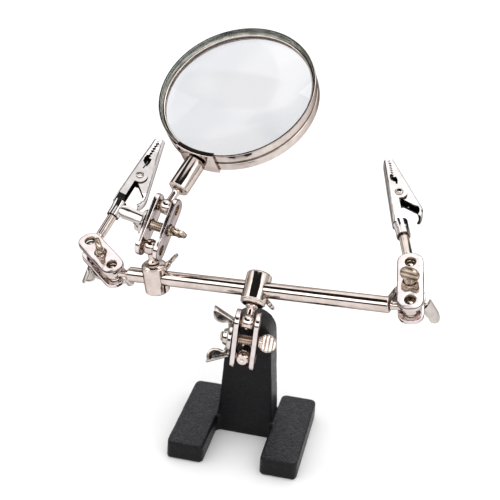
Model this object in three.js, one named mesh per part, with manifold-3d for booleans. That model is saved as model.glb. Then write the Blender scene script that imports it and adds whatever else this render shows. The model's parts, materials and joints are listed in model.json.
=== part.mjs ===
// Helping hands: a cast base, a crossbar on ball clamps, two spring clips and a magnifier.
// Millimetres, +X to the right, +Y to the back, +Z up.
// The origin is on the underside of the base, below the middle of its post.
import * as THREE from 'three';
import { mergeVertices } from 'three/addons/utils/BufferGeometryUtils.js';
import Module from 'manifold-3d';

const wasm = await Module();
wasm.setup();

// ---- Driving dimensions ----

// Gap left between pieces that touch on the real object.
const GAP = 0.3;

// Base casting: two feet that run front to back, joined by the foot of an upright post.
const BASE_WIDTH = 52;
const FOOT_WIDTH = 14.7;
const FOOT_THICK = 7.6;
const FOOT_FRONT = 28.9;
const FOOT_BACK = 16.1;
const FOOT_CORNER = 1.6;
const NOTCH_CORNER = 2.6;
const CAST_BEVEL = 0.6;
const POST_DEPTH = 11.4;
const POST_SHOULDER = 45;
const POST_TOP_RADIUS = 8.9;
const POST_FOOT_HALF = 11.3;

// Balls and ball studs.
const BALL_RADIUS = 3.2;
const BALL_FLAT = 2.5;
const NECK_RADIUS = 1.5;
const STUD_COLLAR = 0.7;
const STUD_TAPER = 1;
const BASE_BALL_HEIGHT = 42.6;
const BASE_BALL_REACH = 8.7;
const BASE_SHANK_DEPTH = 8;
const SHANK_RADIUS = 1.4;

// Ball clamps: two plates, a thumbscrew through both, a wing nut behind.
const BALL_SPACING = 17;
const PLATE_INNER = 2.85;
const PLATE_THICK = 1.9;
const PLATE_HALF_WIDTH = 4.7;
const PLATE_END = 4.2;
const PLATE_CORNER = 4;
const BALL_HOLE_RADIUS = 2;
const CLAMP_SCREW_RADIUS = 2;
const CLAMP_SCREW_TAIL = 9.6;
const CLAMP_SCREW_TIP_CUT = 0.6;
const COLLAR_RADIUS = 2.3;
const COLLAR_LENGTH = 1.4;
const PADDLE_RADIUS = 3.6;
const PADDLE_THICK = 2.4;
const PADDLE_REACH = 8.4;
const NUT_BASE_THICK = 1.6;
const NUT_BASE_RADIUS = 5.2;
const NUT_HUB_LENGTH = 3.5;
const NUT_HUB_RADIUS = 3.6;
const NUT_TOP_RADIUS = 3;
const WING_THICK = 1.3;
const EAR_LENGTH = 8.7;
const EAR_HALF_WIDTH = 2.35;
const EAR_THICK = 1;
const EAR_SLOPE = 24.7;
const EAR_START_ALONG = 5.5;
const EAR_START_OUT = 6.5;

// Barrels that hold the crossbar: a cross hole, a ball stud on one end, a thumbscrew at the side.
const BARREL_RADIUS = 4.9;
const BARREL_HALF = 6.4;
const BARREL_CHAMFER = 0.8;
const BARREL_REACH = 13.5;
const BARREL_NECK_RADIUS = 2.4;
const SIDE_SCREW_RADIUS = 1.5;
const SIDE_SCREW_NECK = 11;
const SIDE_PADDLE_RADIUS = 3.9;
const SIDE_PADDLE_THICK = 1.5;
const SIDE_PADDLE_REACH = 13.8;

// Crossbar.
const ROD_RADIUS = 3;
const ROD_CHAMFER = 0.5;
const ROD_LEFT = 54.9;
const ROD_RIGHT = 52.3;
const ROD_BALL_REACH = 7.4;
const ROD_BORE_DEPTH = 4;
const SLIDER_POSITION = -43.1;

// Spring clips: x runs from the ball to the jaw tips, y to the side that opens, z along the pivot.
const CLIP_TIP = 58.4;
const CLIP_TAIL = 17;
const CLIP_STEM_END = 24;
const CLIP_STEM_NECK = 7.5;
const CLIP_STEM_RADIUS = 1.9;
const PIVOT_X = 38.3;
const PIVOT_Y = 1.2;
const JAW_BACK_TAIL = -3.4;
const JAW_BACK_TIP = -2.1;
const JAW_FRONT_TIP = 2.1;
const FIXED_HALF_WIDTH = 3.1;
const MOVING_HALF_WIDTH = 2.1;
const SHEET = 0.7;
const RIVET_RADIUS = 0.8;
const RIVET_HOLE_RADIUS = 1.1;
const RIVET_HEAD_RADIUS = 1.6;
const RIVET_HEAD_THICK = 0.6;
const SPRING_WIRE_RADIUS = 0.3;
const SPRING_COIL_RADIUS = 1.55;
const SPRING_PITCH = 0.62;
const SPRING_TURNS = 2.5;

// Magnifier head.
const SOCKET_START = 8.5;
const SOCKET_END = 22.6;
const SOCKET_RADIUS = 4.2;
const SOCKET_BORE_DEPTH = 9;
const SOCKET_STEM_RADIUS = 1.9;
const LENS_REACH = 57.2;
const RIM_RADIUS = 33;
const RIM_WALL = 0.9;
const RIM_HEIGHT = 9.2;
const RIB_DEPTH = 0.9;
const RIB_HEIGHT = 0.9;
const LENS_EDGE = 2.2;
const LENS_BULGE = 2.6;
const BRACKET_HALF_ANGLE = 15;
const BRACKET_SHEET = 0.9;

// How each joint stands at rest: compass turn from +X towards +Y, and rise above level, in degrees.
const CROSSBAR_HEADING = { turn: -10.2, rise: 7.8 };
const CENTRE_BARREL_LEAN = 47.3;
const SLIDER_BARREL_LEAN = -3.9;
const CLAMP_STANCE = {
  centre: { screw: { turn: 5.2, rise: -4.1 }, reach: { turn: -56.8, rise: 81.4 }, paddle: 135, wings: 30 },
  magnifier: { screw: { turn: -8, rise: -6 }, reach: { turn: 75.1, rise: 48.6 }, paddle: 0, wings: 268 },
  left: { screw: { turn: -95.4, rise: 68.6 }, reach: { turn: 141.5, rise: 12.1 }, paddle: 108, wings: 135 },
  right: { screw: { turn: -103.9, rise: 63.8 }, reach: { turn: 97.7, rise: 24.6 }, paddle: 20, wings: 118 },
};
const CLIP_STANCE = {
  left: { along: { turn: 73, rise: 33 }, pivot: { turn: -73.2, rise: 50.5 } },
  right: { along: { turn: 107, rise: 19.5 }, pivot: { turn: -88.2, rise: 67.3 } },
};
const MAGNIFIER_STANCE = { along: { turn: 68.2, rise: 35.7 }, lens: { turn: -104.6, rise: 54.1 } };
const CENTRE_PADDLE_TURN = 52;
const SLIDER_PADDLE_TURN = 136;

// Facets round a full circle.
const ROUND = 20;
const BALL_ROUND = 12;
const RIM_ROUND = 44;

// ---- Materials ----

function metal(color, roughness, metalness) {
  return new THREE.MeshStandardMaterial({ color, roughness, metalness });
}

const MATERIALS = {
  casting: metal(0x303033, 0.6, 0.3),
  nickel: metal(0xd9d4d2, 0.15, 1),
  plate: metal(0xdcd8dc, 0.22, 1),
  springSteel: metal(0x8a8682, 0.3, 1),
  glass: new THREE.MeshStandardMaterial({
    color: 0xdedde8, roughness: 0.05, metalness: 0, transparent: true, opacity: 0.35,
  }),
};

// ---- Directions and frames ----

function direction({ turn, rise }) {
  const t = THREE.MathUtils.degToRad(turn);
  const r = THREE.MathUtils.degToRad(rise);
  return new THREE.Vector3(Math.cos(r) * Math.cos(t), Math.cos(r) * Math.sin(t), Math.sin(r));
}

// A rotation whose X axis is `first` and whose Z axis is as near as it can be to `third`.
function turnedTo(first, third) {
  const x = first.clone().normalize();
  const z = third.clone().addScaledVector(x, -third.dot(x)).normalize();
  const y = new THREE.Vector3().crossVectors(z, x);
  return new THREE.Quaternion().setFromRotationMatrix(new THREE.Matrix4().makeBasis(x, y, z));
}

// A rotation whose Z axis is `axis`.
function alongAxis(axis) {
  return new THREE.Quaternion().setFromUnitVectors(new THREE.Vector3(0, 0, 1), axis);
}

function reached(start, axis, distance) {
  return start.clone().addScaledVector(axis, distance);
}

function groupAt(parent, position, quaternion) {
  const group = new THREE.Group();
  group.position.copy(position);
  group.quaternion.copy(quaternion);
  parent.add(group);
  return group;
}

// ---- Solids ----

function corner(index, attribute) {
  return new THREE.Vector3().fromBufferAttribute(attribute, index);
}

// Turns a closed three.js geometry into a solid, with its faces pointing out.
function solid(geometry) {
  const bare = geometry.clone();
  bare.deleteAttribute('normal');
  bare.deleteAttribute('uv');
  const merged = mergeVertices(bare, 1e-4);
  const points = merged.attributes.position;
  const faces = [];
  let volume = 0;
  for (let i = 0; i < merged.index.count; i += 3) {
    const [a, b, c] = [0, 1, 2].map((k) => merged.index.getX(i + k));
    if (a !== b && b !== c && c !== a) {
      faces.push([a, b, c]);
      volume += corner(a, points).dot(corner(b, points).cross(corner(c, points)));
    }
  }
  const outward = volume < 0 ? faces.map(([a, b, c]) => [a, c, b]) : faces;
  return new wasm.Manifold(new wasm.Mesh({
    numProp: 3,
    vertProperties: new Float32Array(points.array),
    triVerts: new Uint32Array(outward.flat()),
  }));
}

function toGeometry(body) {
  const mesh = body.getMesh();
  const geometry = new THREE.BufferGeometry();
  geometry.setAttribute('position', new THREE.BufferAttribute(mesh.vertProperties, 3));
  geometry.setIndex(new THREE.BufferAttribute(mesh.triVerts, 1));
  geometry.computeVertexNormals();
  return geometry;
}

function addPiece(parent, name, body, material) {
  const mesh = new THREE.Mesh(toGeometry(body), material.clone());
  mesh.name = name;
  parent.add(mesh);
  return mesh;
}

// A solid of revolution about Z from [radius, height] points that start and end on the axis or close.
function turned(profile, facets = ROUND) {
  const points = profile.map(([radius, height]) => new THREE.Vector2(radius, height));
  const geometry = new THREE.LatheGeometry(points, facets);
  geometry.rotateX(Math.PI / 2);
  return solid(geometry);
}

function cylinder(radius, from, to, facets = ROUND) {
  return turned([[0, from], [radius, from], [radius, to], [0, to]], facets);
}

// The rotations that take a solid made along Z to lie along X or Y.
function layAlongX(body) {
  return body.rotate([0, 90, 0]);
}

function layAlongY(body) {
  return body.rotate([-90, 0, 0]);
}

function cylinderX(radius, from, to, facets = ROUND) {
  return layAlongX(cylinder(radius, from, to, facets));
}

function cylinderY(radius, from, to, facets = ROUND) {
  return layAlongY(cylinder(radius, from, to, facets));
}

function prism(shape, from, to, curveSegments = 6) {
  const settings = { depth: to - from, bevelEnabled: false, curveSegments };
  const geometry = new THREE.ExtrudeGeometry(shape, settings);
  geometry.translate(0, 0, from);
  return solid(geometry);
}

// Stands a prism up: its shape's x and y become world Y and Z, and its depth runs along X.
function prismAlongX(shape, from, to, curveSegments) {
  return prism(shape, from, to, curveSegments).rotate([90, 0, 90]);
}

function outline(points) {
  return new THREE.Shape(points.map(([x, y]) => new THREE.Vector2(x, y)));
}

function roundedBox(x0, y0, x1, y1, radius) {
  const shape = new THREE.Shape();
  shape.moveTo(x0 + radius, y0);
  shape.lineTo(x1 - radius, y0);
  shape.absarc(x1 - radius, y0 + radius, radius, -Math.PI / 2, 0);
  shape.lineTo(x1, y1 - radius);
  shape.absarc(x1 - radius, y1 - radius, radius, 0, Math.PI / 2);
  shape.lineTo(x0 + radius, y1);
  shape.absarc(x0 + radius, y1 - radius, radius, Math.PI / 2, Math.PI);
  shape.lineTo(x0, y0 + radius);
  shape.absarc(x0 + radius, y0 + radius, radius, Math.PI, 1.5 * Math.PI);
  return shape;
}

function roundHole(shape, x, y, radius) {
  const hole = new THREE.Path();
  hole.absarc(x, y, radius, 0, 2 * Math.PI);
  shape.holes.push(hole);
}

// ---- Base ----

function footSolid(side) {
  const inner = BASE_WIDTH / 2 - FOOT_WIDTH;
  const outer = BASE_WIDTH / 2;
  const x0 = Math.min(side * inner, side * outer) + CAST_BEVEL;
  const x1 = Math.max(side * inner, side * outer) - CAST_BEVEL;
  const shape = roundedBox(x0, -FOOT_FRONT + CAST_BEVEL, x1, FOOT_BACK - CAST_BEVEL, FOOT_CORNER);
  const geometry = new THREE.ExtrudeGeometry(shape, {
    depth: FOOT_THICK - CAST_BEVEL,
    bevelEnabled: true,
    bevelThickness: CAST_BEVEL,
    bevelSize: CAST_BEVEL,
    bevelSegments: 1,
    curveSegments: 4,
  });
  const bevelled = solid(geometry);
  const below = prism(roundedBox(-outer, -outer * 2, outer, outer, 1), -2 * CAST_BEVEL, 0);
  return bevelled.subtract(below);
}

// A round inside corner where the post's foot meets a foot of the base.
function cornerFillet(side, end) {
  const x = side * POST_FOOT_HALF;
  const y = end * POST_DEPTH / 2;
  const radius = NOTCH_CORNER;
  const shape = outline([
    [x + side, y - end], [x - side * radius, y - end], [x - side * radius, y],
    [x - side * 0.4 * radius, y + end * 0.1 * radius], [x - side * 0.1 * radius, y + end * 0.4 * radius],
    [x, y + end * radius], [x + side, y + end * radius],
  ]);
  return prism(shape, 0, FOOT_THICK - CAST_BEVEL);
}

function postSolid() {
  const half = POST_DEPTH / 2;
  const shape = new THREE.Shape();
  shape.moveTo(-POST_FOOT_HALF - 0.5, 0);
  shape.lineTo(POST_FOOT_HALF + 0.5, 0);
  shape.lineTo(POST_FOOT_HALF, FOOT_THICK);
  shape.lineTo(POST_TOP_RADIUS, POST_SHOULDER);
  shape.absarc(0, POST_SHOULDER, POST_TOP_RADIUS, 0, Math.PI);
  shape.lineTo(-POST_FOOT_HALF, FOOT_THICK);
  return prism(shape, -half, half, 12).rotate([90, 0, 0]);
}

function baseCasting() {
  let body = postSolid();
  for (const side of [-1, 1]) {
    body = body.add(footSolid(side));
    for (const end of [-1, 1]) {
      body = body.add(cornerFillet(side, end));
    }
  }
  const mouth = -POST_DEPTH / 2 - 1;
  const bore = cylinderY(SHANK_RADIUS + GAP, mouth, mouth + 1 + BASE_SHANK_DEPTH + GAP, 16);
  return body.subtract(bore.translate([0, 0, BASE_BALL_HEIGHT]));
}

// ---- Ball studs ----

// A flat-ended ball at the origin, with its neck and shank along +Z.
function ballStud(neckEnd, collarRadius, shankEnd, shankRadius = SHANK_RADIUS) {
  const profile = [[0, -BALL_FLAT]];
  const neckCut = Math.sqrt(BALL_RADIUS ** 2 - NECK_RADIUS ** 2);
  const start = Math.asin(-BALL_FLAT / BALL_RADIUS);
  const end = Math.asin(neckCut / BALL_RADIUS);
  const steps = 6;
  for (let i = 0; i <= steps; i += 1) {
    const angle = start + (end - start) * i / steps;
    profile.push([BALL_RADIUS * Math.cos(angle), BALL_RADIUS * Math.sin(angle)]);
  }
  const collarStart = neckEnd - STUD_COLLAR;
  profile.push([NECK_RADIUS, collarStart - STUD_TAPER], [collarRadius, collarStart]);
  profile.push([collarRadius, neckEnd]);
  profile.push([shankRadius, neckEnd], [shankRadius, shankEnd], [0, shankEnd]);
  return turned(profile, BALL_ROUND);
}

// Places a stud with its ball at `ball` and its shank along `axis`.
function addStud(parent, name, ball, axis, body) {
  const stud = addPiece(parent, name, body, MATERIALS.nickel);
  stud.position.copy(ball);
  stud.quaternion.copy(alongAxis(axis));
}

// ---- Ball clamp ----

// A clamp's own frame: the lower ball at the origin, the other ball up +Z, the screw along X.
const SCREW_LINE = BALL_SPACING / 2;

function clampPlate(side) {
  const shape = roundedBox(
    -PLATE_HALF_WIDTH, -PLATE_END, PLATE_HALF_WIDTH, BALL_SPACING + PLATE_END, PLATE_CORNER,
  );
  roundHole(shape, 0, 0, BALL_HOLE_RADIUS);
  roundHole(shape, 0, BALL_SPACING, BALL_HOLE_RADIUS);
  roundHole(shape, 0, SCREW_LINE, CLAMP_SCREW_RADIUS + GAP);
  const faces = [side * PLATE_INNER, side * (PLATE_INNER + PLATE_THICK)];
  return prismAlongX(shape, Math.min(...faces), Math.max(...faces), 4);
}

// A flat round paddle in the plane of the screw's axis X, its broad faces square to Y.
function paddle(reach, radius, thick, facets) {
  return cylinderY(radius, -thick / 2, thick / 2, facets).translate([reach, 0, 0]);
}

function clampScrew() {
  const head = PLATE_INNER + PLATE_THICK + GAP;
  const cut = CLAMP_SCREW_TIP_CUT;
  const shaft = turned([
    [0, -CLAMP_SCREW_TAIL], [CLAMP_SCREW_RADIUS - cut, -CLAMP_SCREW_TAIL],
    [CLAMP_SCREW_RADIUS, -CLAMP_SCREW_TAIL + cut], [CLAMP_SCREW_RADIUS, head], [COLLAR_RADIUS, head],
    [CLAMP_SCREW_RADIUS, head + COLLAR_LENGTH], [0, head + COLLAR_LENGTH],
  ], 18);
  return layAlongX(shaft).add(paddle(PADDLE_REACH, PADDLE_RADIUS, PADDLE_THICK, 16));
}

// The web of one wing, as [along the screw, out from its axis] points.
const WING_OUTLINE = [
  [5.05, 4.4], [5.05, 6.4], [5.6, 6.9], [12.6, 10], [13.4, 9.8], [13.7, 9], [13.7, 8], [13.1, 6.2],
  [11.6, 5.1], [9.5, 4.9], [7.6, 5.6], [6.6, 4.4],
];

// A wing is a web with a broad ear along its outer edge for the finger to push.
function wing() {
  const webShape = outline(WING_OUTLINE.map(([alongScrew, out]) => [-alongScrew, out]));
  const web = prism(webShape, -WING_THICK / 2, WING_THICK / 2).rotate([90, 0, 0]);
  const straight = EAR_LENGTH - EAR_HALF_WIDTH;
  const earShape = new THREE.Shape();
  earShape.moveTo(0, -EAR_HALF_WIDTH);
  earShape.lineTo(straight, -EAR_HALF_WIDTH);
  earShape.absarc(straight, 0, EAR_HALF_WIDTH, -Math.PI / 2, Math.PI / 2);
  earShape.lineTo(0, EAR_HALF_WIDTH);
  const ear = prism(earShape, -EAR_THICK, 0, 8).rotate([0, 180 + EAR_SLOPE, 0]);
  return web.add(ear.translate([-EAR_START_ALONG, 0, EAR_START_OUT]));
}

function wingNut() {
  const face = PLATE_INNER + PLATE_THICK + GAP;
  const base = face + NUT_BASE_THICK;
  const back = face + NUT_HUB_LENGTH;
  const bore = CLAMP_SCREW_RADIUS + GAP;
  const hub = layAlongX(turned([
    [bore, -back], [NUT_TOP_RADIUS, -back], [NUT_HUB_RADIUS, -base], [NUT_BASE_RADIUS, -base],
    [NUT_BASE_RADIUS, -face], [bore, -face], [bore, -back],
  ], 20));
  return hub.add(wing()).add(wing().rotate([180, 0, 0]));
}

function addBallClamp(parent, name, ball) {
  const stance = CLAMP_STANCE[name];
  const screwAxis = direction(stance.screw);
  const clamp = groupAt(parent, ball, turnedTo(screwAxis, direction(stance.reach)));
  addPiece(clamp, `${name}_clamp_front_plate`, clampPlate(1), MATERIALS.plate);
  addPiece(clamp, `${name}_clamp_rear_plate`, clampPlate(-1), MATERIALS.plate);
  const screw = addPiece(clamp, `${name}_clamp_screw`, clampScrew(), MATERIALS.nickel);
  screw.position.z = SCREW_LINE;
  screw.rotation.x = THREE.MathUtils.degToRad(90 - stance.paddle);
  const nut = addPiece(clamp, `${name}_clamp_wing_nut`, wingNut(), MATERIALS.nickel);
  nut.position.z = SCREW_LINE;
  nut.rotation.x = THREE.MathUtils.degToRad(-stance.wings);
  const up = new THREE.Vector3(0, 0, 1).applyQuaternion(clamp.quaternion);
  return reached(ball, up, BALL_SPACING);
}

// ---- Barrels and crossbar ----

// A barrel's own frame: the crossbar along X, the ball stud up +Z, the side screw along +Y.
function barrelSolid() {
  const r = BARREL_RADIUS;
  const h = BARREL_HALF;
  const c = BARREL_CHAMFER;
  const body = turned([[0, -h], [r - c, -h], [r, -h + c], [r, h - c], [r - c, h], [0, h]], 24);
  const crossHole = cylinderX(ROD_RADIUS + GAP, -r - 1, r + 1, 16);
  const studHole = cylinder(SHANK_RADIUS + GAP, 0, h + 1, 12);
  const screwHole = cylinderY(SIDE_SCREW_RADIUS + GAP, 0, r + 1, 12);
  return body.subtract(crossHole).subtract(studHole).subtract(screwHole);
}

// Lies along +Y, its tip against the crossbar.
function sideScrew() {
  const tip = ROD_RADIUS + GAP;
  const head = BARREL_RADIUS + GAP;
  const shaft = layAlongY(turned([
    [0, tip], [SIDE_SCREW_RADIUS, tip], [SIDE_SCREW_RADIUS, head], [2.1, head],
    [1.6, SIDE_SCREW_NECK], [0, SIDE_SCREW_NECK],
  ], 16));
  const disc = cylinder(SIDE_PADDLE_RADIUS, -SIDE_PADDLE_THICK / 2, SIDE_PADDLE_THICK / 2, 22);
  return shaft.add(disc.translate([0, SIDE_PADDLE_REACH, 0]));
}

function addBarrel(parent, name, centre, crossbarAxis, studAxis, paddleTurn) {
  const barrel = groupAt(parent, centre, turnedTo(crossbarAxis, studAxis));
  addPiece(barrel, `${name}_barrel`, barrelSolid(), MATERIALS.nickel);
  const screw = addPiece(barrel, `${name}_barrel_thumbscrew`, sideScrew(), MATERIALS.nickel);
  screw.rotation.y = THREE.MathUtils.degToRad(90 - paddleTurn);
}

function crossbar() {
  const bore = SHANK_RADIUS + GAP;
  const r = ROD_RADIUS;
  const c = ROD_CHAMFER;
  return layAlongX(turned([
    [0, -ROD_LEFT + ROD_BORE_DEPTH], [bore, -ROD_LEFT + ROD_BORE_DEPTH], [bore, -ROD_LEFT],
    [r - c, -ROD_LEFT], [r, -ROD_LEFT + c], [r, ROD_RIGHT - c], [r - c, ROD_RIGHT],
    [bore, ROD_RIGHT], [bore, ROD_RIGHT - ROD_BORE_DEPTH], [0, ROD_RIGHT - ROD_BORE_DEPTH],
  ]));
}

// ---- Spring clips ----

// Fixed jaw's side view: back, tip, tooth line, window, round cheek, tail.
function fixedJawShape() {
  const cheek = 3.3;
  const shape = new THREE.Shape();
  shape.moveTo(CLIP_TAIL, JAW_BACK_TAIL);
  shape.lineTo(CLIP_TIP - 1, JAW_BACK_TIP);
  shape.lineTo(CLIP_TIP, JAW_BACK_TIP + 0.5);
  shape.lineTo(CLIP_TIP, -0.15);
  shape.lineTo(50, 0.1);
  shape.lineTo(49, -0.9);
  shape.lineTo(45.2, -0.9);
  shape.lineTo(44.2, 1.4);
  shape.absarc(PIVOT_X, PIVOT_Y, cheek, THREE.MathUtils.degToRad(8), THREE.MathUtils.degToRad(190));
  shape.lineTo(34, 0.6);
  shape.lineTo(CLIP_STEM_END, 0.5);
  shape.lineTo(CLIP_TAIL, 0.9);
  return shape;
}

function fixedJaw() {
  const inside = FIXED_HALF_WIDTH - SHEET;
  const body = prism(fixedJawShape(), -FIXED_HALF_WIDTH, FIXED_HALF_WIDTH);
  const hollow = prism(outline([
    [CLIP_TAIL - 1, JAW_BACK_TAIL + SHEET], [CLIP_TIP + 1, JAW_BACK_TIP + SHEET], [CLIP_TIP + 1, 8],
    [CLIP_TAIL - 1, 8],
  ]), -inside, inside);
  const rivetHole = cylinder(RIVET_HOLE_RADIUS, -5, 5, 16).translate([PIVOT_X, PIVOT_Y, 0]);
  return body.subtract(hollow).subtract(rivetHole);
}

// Moving jaw's side view: tooth line, back to the thumb lever, cheek round the rivet.
const LEVER_X = 30.6;
const LEVER_Y = 8.9;
const LEVER_END_X = 23.4;
const LEVER_END_Y = 7.4;

function movingJawShape() {
  const cheek = 2.3;
  const shape = new THREE.Shape();
  shape.moveTo(CLIP_TIP, 0.2);
  shape.lineTo(CLIP_TIP, JAW_FRONT_TIP - 0.5);
  shape.lineTo(CLIP_TIP - 1, JAW_FRONT_TIP);
  shape.lineTo(LEVER_X, LEVER_Y);
  shape.quadraticCurveTo(26, 10.2, LEVER_END_X, LEVER_END_Y);
  shape.lineTo(LEVER_END_X + 0.6, LEVER_END_Y - 0.5);
  shape.quadraticCurveTo(26.4, 9.2, 30.4, 7.4);
  shape.lineTo(36.2, 4.6);
  shape.absarc(PIVOT_X, PIVOT_Y, cheek, THREE.MathUtils.degToRad(170), THREE.MathUtils.degToRad(352));
  shape.lineTo(44.2, 2.4);
  shape.lineTo(45.2, 1.5);
  shape.lineTo(49, 1.5);
  shape.lineTo(50, 0.45);
  return shape;
}

function movingJaw() {
  const inside = MOVING_HALF_WIDTH - SHEET;
  const body = prism(movingJawShape(), -MOVING_HALF_WIDTH, MOVING_HALF_WIDTH);
  const slope = (LEVER_Y - JAW_FRONT_TIP) / (CLIP_TIP - 1 - LEVER_X);
  const hollow = prism(outline([
    [CLIP_TIP + 1, JAW_FRONT_TIP - SHEET - 2 * slope], [LEVER_X, LEVER_Y - SHEET], [LEVER_X, -4],
    [CLIP_TIP + 1, -4],
  ]), -inside, inside);
  const rivetHole = cylinder(RIVET_HOLE_RADIUS, -5, 5, 16).translate([PIVOT_X, PIVOT_Y, 0]);
  return body.subtract(hollow).subtract(rivetHole);
}

function rivet() {
  const seat = FIXED_HALF_WIDTH + GAP;
  const top = seat + RIVET_HEAD_THICK;
  return turned([
    [0, -top], [RIVET_HEAD_RADIUS, -top], [RIVET_HEAD_RADIUS, -seat], [RIVET_RADIUS, -seat],
    [RIVET_RADIUS, seat], [RIVET_HEAD_RADIUS, seat], [RIVET_HEAD_RADIUS, top], [0, top],
  ], 14).translate([PIVOT_X, PIVOT_Y, 0]);
}

// A torsion spring: one leg along the fixed jaw, a coil round the rivet, one leg under the lever.
function torsionSpring() {
  const coilStart = THREE.MathUtils.degToRad(265);
  const steps = 24;
  const rise = SPRING_PITCH * SPRING_TURNS;
  const points = [new THREE.Vector3(33.2, -1.1, -rise / 2)];
  for (let i = 0; i <= steps; i += 1) {
    const angle = coilStart + 2 * Math.PI * SPRING_TURNS * i / steps;
    points.push(new THREE.Vector3(
      PIVOT_X + SPRING_COIL_RADIUS * Math.cos(angle),
      PIVOT_Y + SPRING_COIL_RADIUS * Math.sin(angle),
      rise * (i / steps - 0.5),
    ));
  }
  points.push(new THREE.Vector3(33.2, 5.9, rise / 2));
  const path = new THREE.CatmullRomCurve3(points, false, 'centripetal');
  const wire = new THREE.Shape();
  wire.absarc(0, 0, SPRING_WIRE_RADIUS, 0, 2 * Math.PI);
  return solid(new THREE.ExtrudeGeometry(wire, { steps: 38, extrudePath: path, curveSegments: 3 }));
}

function addClip(parent, name, ball) {
  const stance = CLIP_STANCE[name];
  const along = direction(stance.along);
  const stem = ballStud(CLIP_STEM_NECK, CLIP_STEM_RADIUS, CLIP_STEM_END, CLIP_STEM_RADIUS);
  addStud(parent, `${name}_clip_stem`, ball, along, stem);
  const clip = groupAt(parent, ball, turnedTo(along, direction(stance.pivot).negate()));
  addPiece(clip, `${name}_clip_fixed_jaw`, fixedJaw(), MATERIALS.nickel);
  addPiece(clip, `${name}_clip_moving_jaw`, movingJaw(), MATERIALS.nickel);
  addPiece(clip, `${name}_clip_rivet`, rivet(), MATERIALS.nickel);
  addPiece(clip, `${name}_clip_spring`, torsionSpring(), MATERIALS.springSteel);
}

// ---- Magnifier ----

// The head's own frame: the ball at the origin, the socket up +Z, the lens facing +Y.
function socket() {
  const bore = SOCKET_STEM_RADIUS + GAP;
  const r = SOCKET_RADIUS;
  return turned([
    [0, SOCKET_START + SOCKET_BORE_DEPTH], [bore, SOCKET_START + SOCKET_BORE_DEPTH], [bore, SOCKET_START],
    [r - 0.6, SOCKET_START], [r, SOCKET_START + 0.6], [r, SOCKET_END], [0, SOCKET_END],
  ]);
}

function magnifierStud() {
  const end = SOCKET_START + SOCKET_BORE_DEPTH - GAP;
  return ballStud(SOCKET_START - GAP, SOCKET_STEM_RADIUS, end, SOCKET_STEM_RADIUS - 0.1);
}

// The rim is a thin band with a groove rolled into it, which makes two ribs that hold the glass.
function rim() {
  const half = RIM_HEIGHT / 2;
  const outer = RIM_RADIUS;
  const inner = RIM_RADIUS - RIM_WALL;
  const ribInner = inner - RIB_DEPTH;
  const ribStart = LENS_EDGE / 2 + GAP;
  const ribEnd = ribStart + RIB_HEIGHT;
  const body = turned([
    [inner, -half], [outer, -half], [outer, -0.8], [outer - 0.4, -0.4], [outer - 0.4, 0.4], [outer, 0.8],
    [outer, half], [inner, half], [inner, ribEnd], [ribInner, ribEnd], [ribInner, ribStart],
    [inner, ribStart], [inner, -ribStart], [ribInner, -ribStart], [ribInner, -ribEnd], [inner, -ribEnd],
    [inner, -half],
  ], RIM_ROUND);
  return layAlongY(body).translate([0, 0, LENS_REACH]);
}

function lens() {
  const radius = RIM_RADIUS - RIM_WALL - GAP;
  const steps = 3;
  const sag = (r) => LENS_EDGE / 2 + LENS_BULGE * (1 - (r / radius) ** 2);
  const profile = [[0, -sag(0)]];
  for (let i = 1; i <= steps; i += 1) {
    const r = radius * i / steps;
    profile.push([r, -sag(r)]);
  }
  for (let i = steps; i >= 1; i -= 1) {
    const r = radius * i / steps;
    profile.push([r, sag(r)]);
  }
  profile.push([0, sag(0)]);
  return layAlongY(turned(profile, RIM_ROUND)).translate([0, 0, LENS_REACH]);
}

// A saddle: a channel bent round the rim's outside, its two flanges over the rim's edges.
function bracket() {
  const inside = RIM_RADIUS + GAP;
  const outside = inside + BRACKET_SHEET;
  const half = RIM_HEIGHT / 2 + GAP;
  const lip = RIM_RADIUS - 1.2;
  const sweep = THREE.MathUtils.degToRad(2 * BRACKET_HALF_ANGLE);
  const from = Math.PI - sweep / 2;
  const profile = [
    [outside, -half - BRACKET_SHEET], [outside, half + BRACKET_SHEET], [lip, half + BRACKET_SHEET],
    [lip, half], [inside, half], [inside, -half], [lip, -half], [lip, -half - BRACKET_SHEET],
  ];
  const channel = turned([...profile, profile[0]], 96);
  const spread = outside * 1.2;
  const wedge = prism(outline([
    [0, 0],
    [spread * Math.cos(from), spread * Math.sin(from)],
    [-spread * 1.1, 0],
    [spread * Math.cos(from + sweep), spread * Math.sin(from + sweep)],
  ]), -half - 2, half + 2);
  return layAlongY(channel.intersect(wedge).rotate([0, 0, -90])).translate([0, 0, LENS_REACH]);
}

function addMagnifier(parent, ball) {
  const along = direction(MAGNIFIER_STANCE.along);
  const facing = direction(MAGNIFIER_STANCE.lens);
  addStud(parent, 'magnifier_ball_stud', ball, along, magnifierStud());
  const side = new THREE.Vector3().crossVectors(facing, along).normalize();
  const head = groupAt(parent, ball, turnedTo(side, along));
  addPiece(head, 'magnifier_socket', socket(), MATERIALS.nickel);
  addPiece(head, 'magnifier_bracket', bracket(), MATERIALS.nickel);
  addPiece(head, 'magnifier_rim', rim(), MATERIALS.nickel);
  addPiece(head, 'magnifier_lens', lens(), MATERIALS.glass);
}

// ---- Assembly ----

// The direction square to the crossbar that leans back from upright by `lean` degrees.
function squareToCrossbar(crossbarAxis, lean) {
  const up = new THREE.Vector3(0, 0, 1).addScaledVector(crossbarAxis, -crossbarAxis.z).normalize();
  return up.applyAxisAngle(crossbarAxis, THREE.MathUtils.degToRad(-lean));
}

const helpingHands = new THREE.Group();
addPiece(helpingHands, 'base_casting', baseCasting(), MATERIALS.casting);

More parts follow.
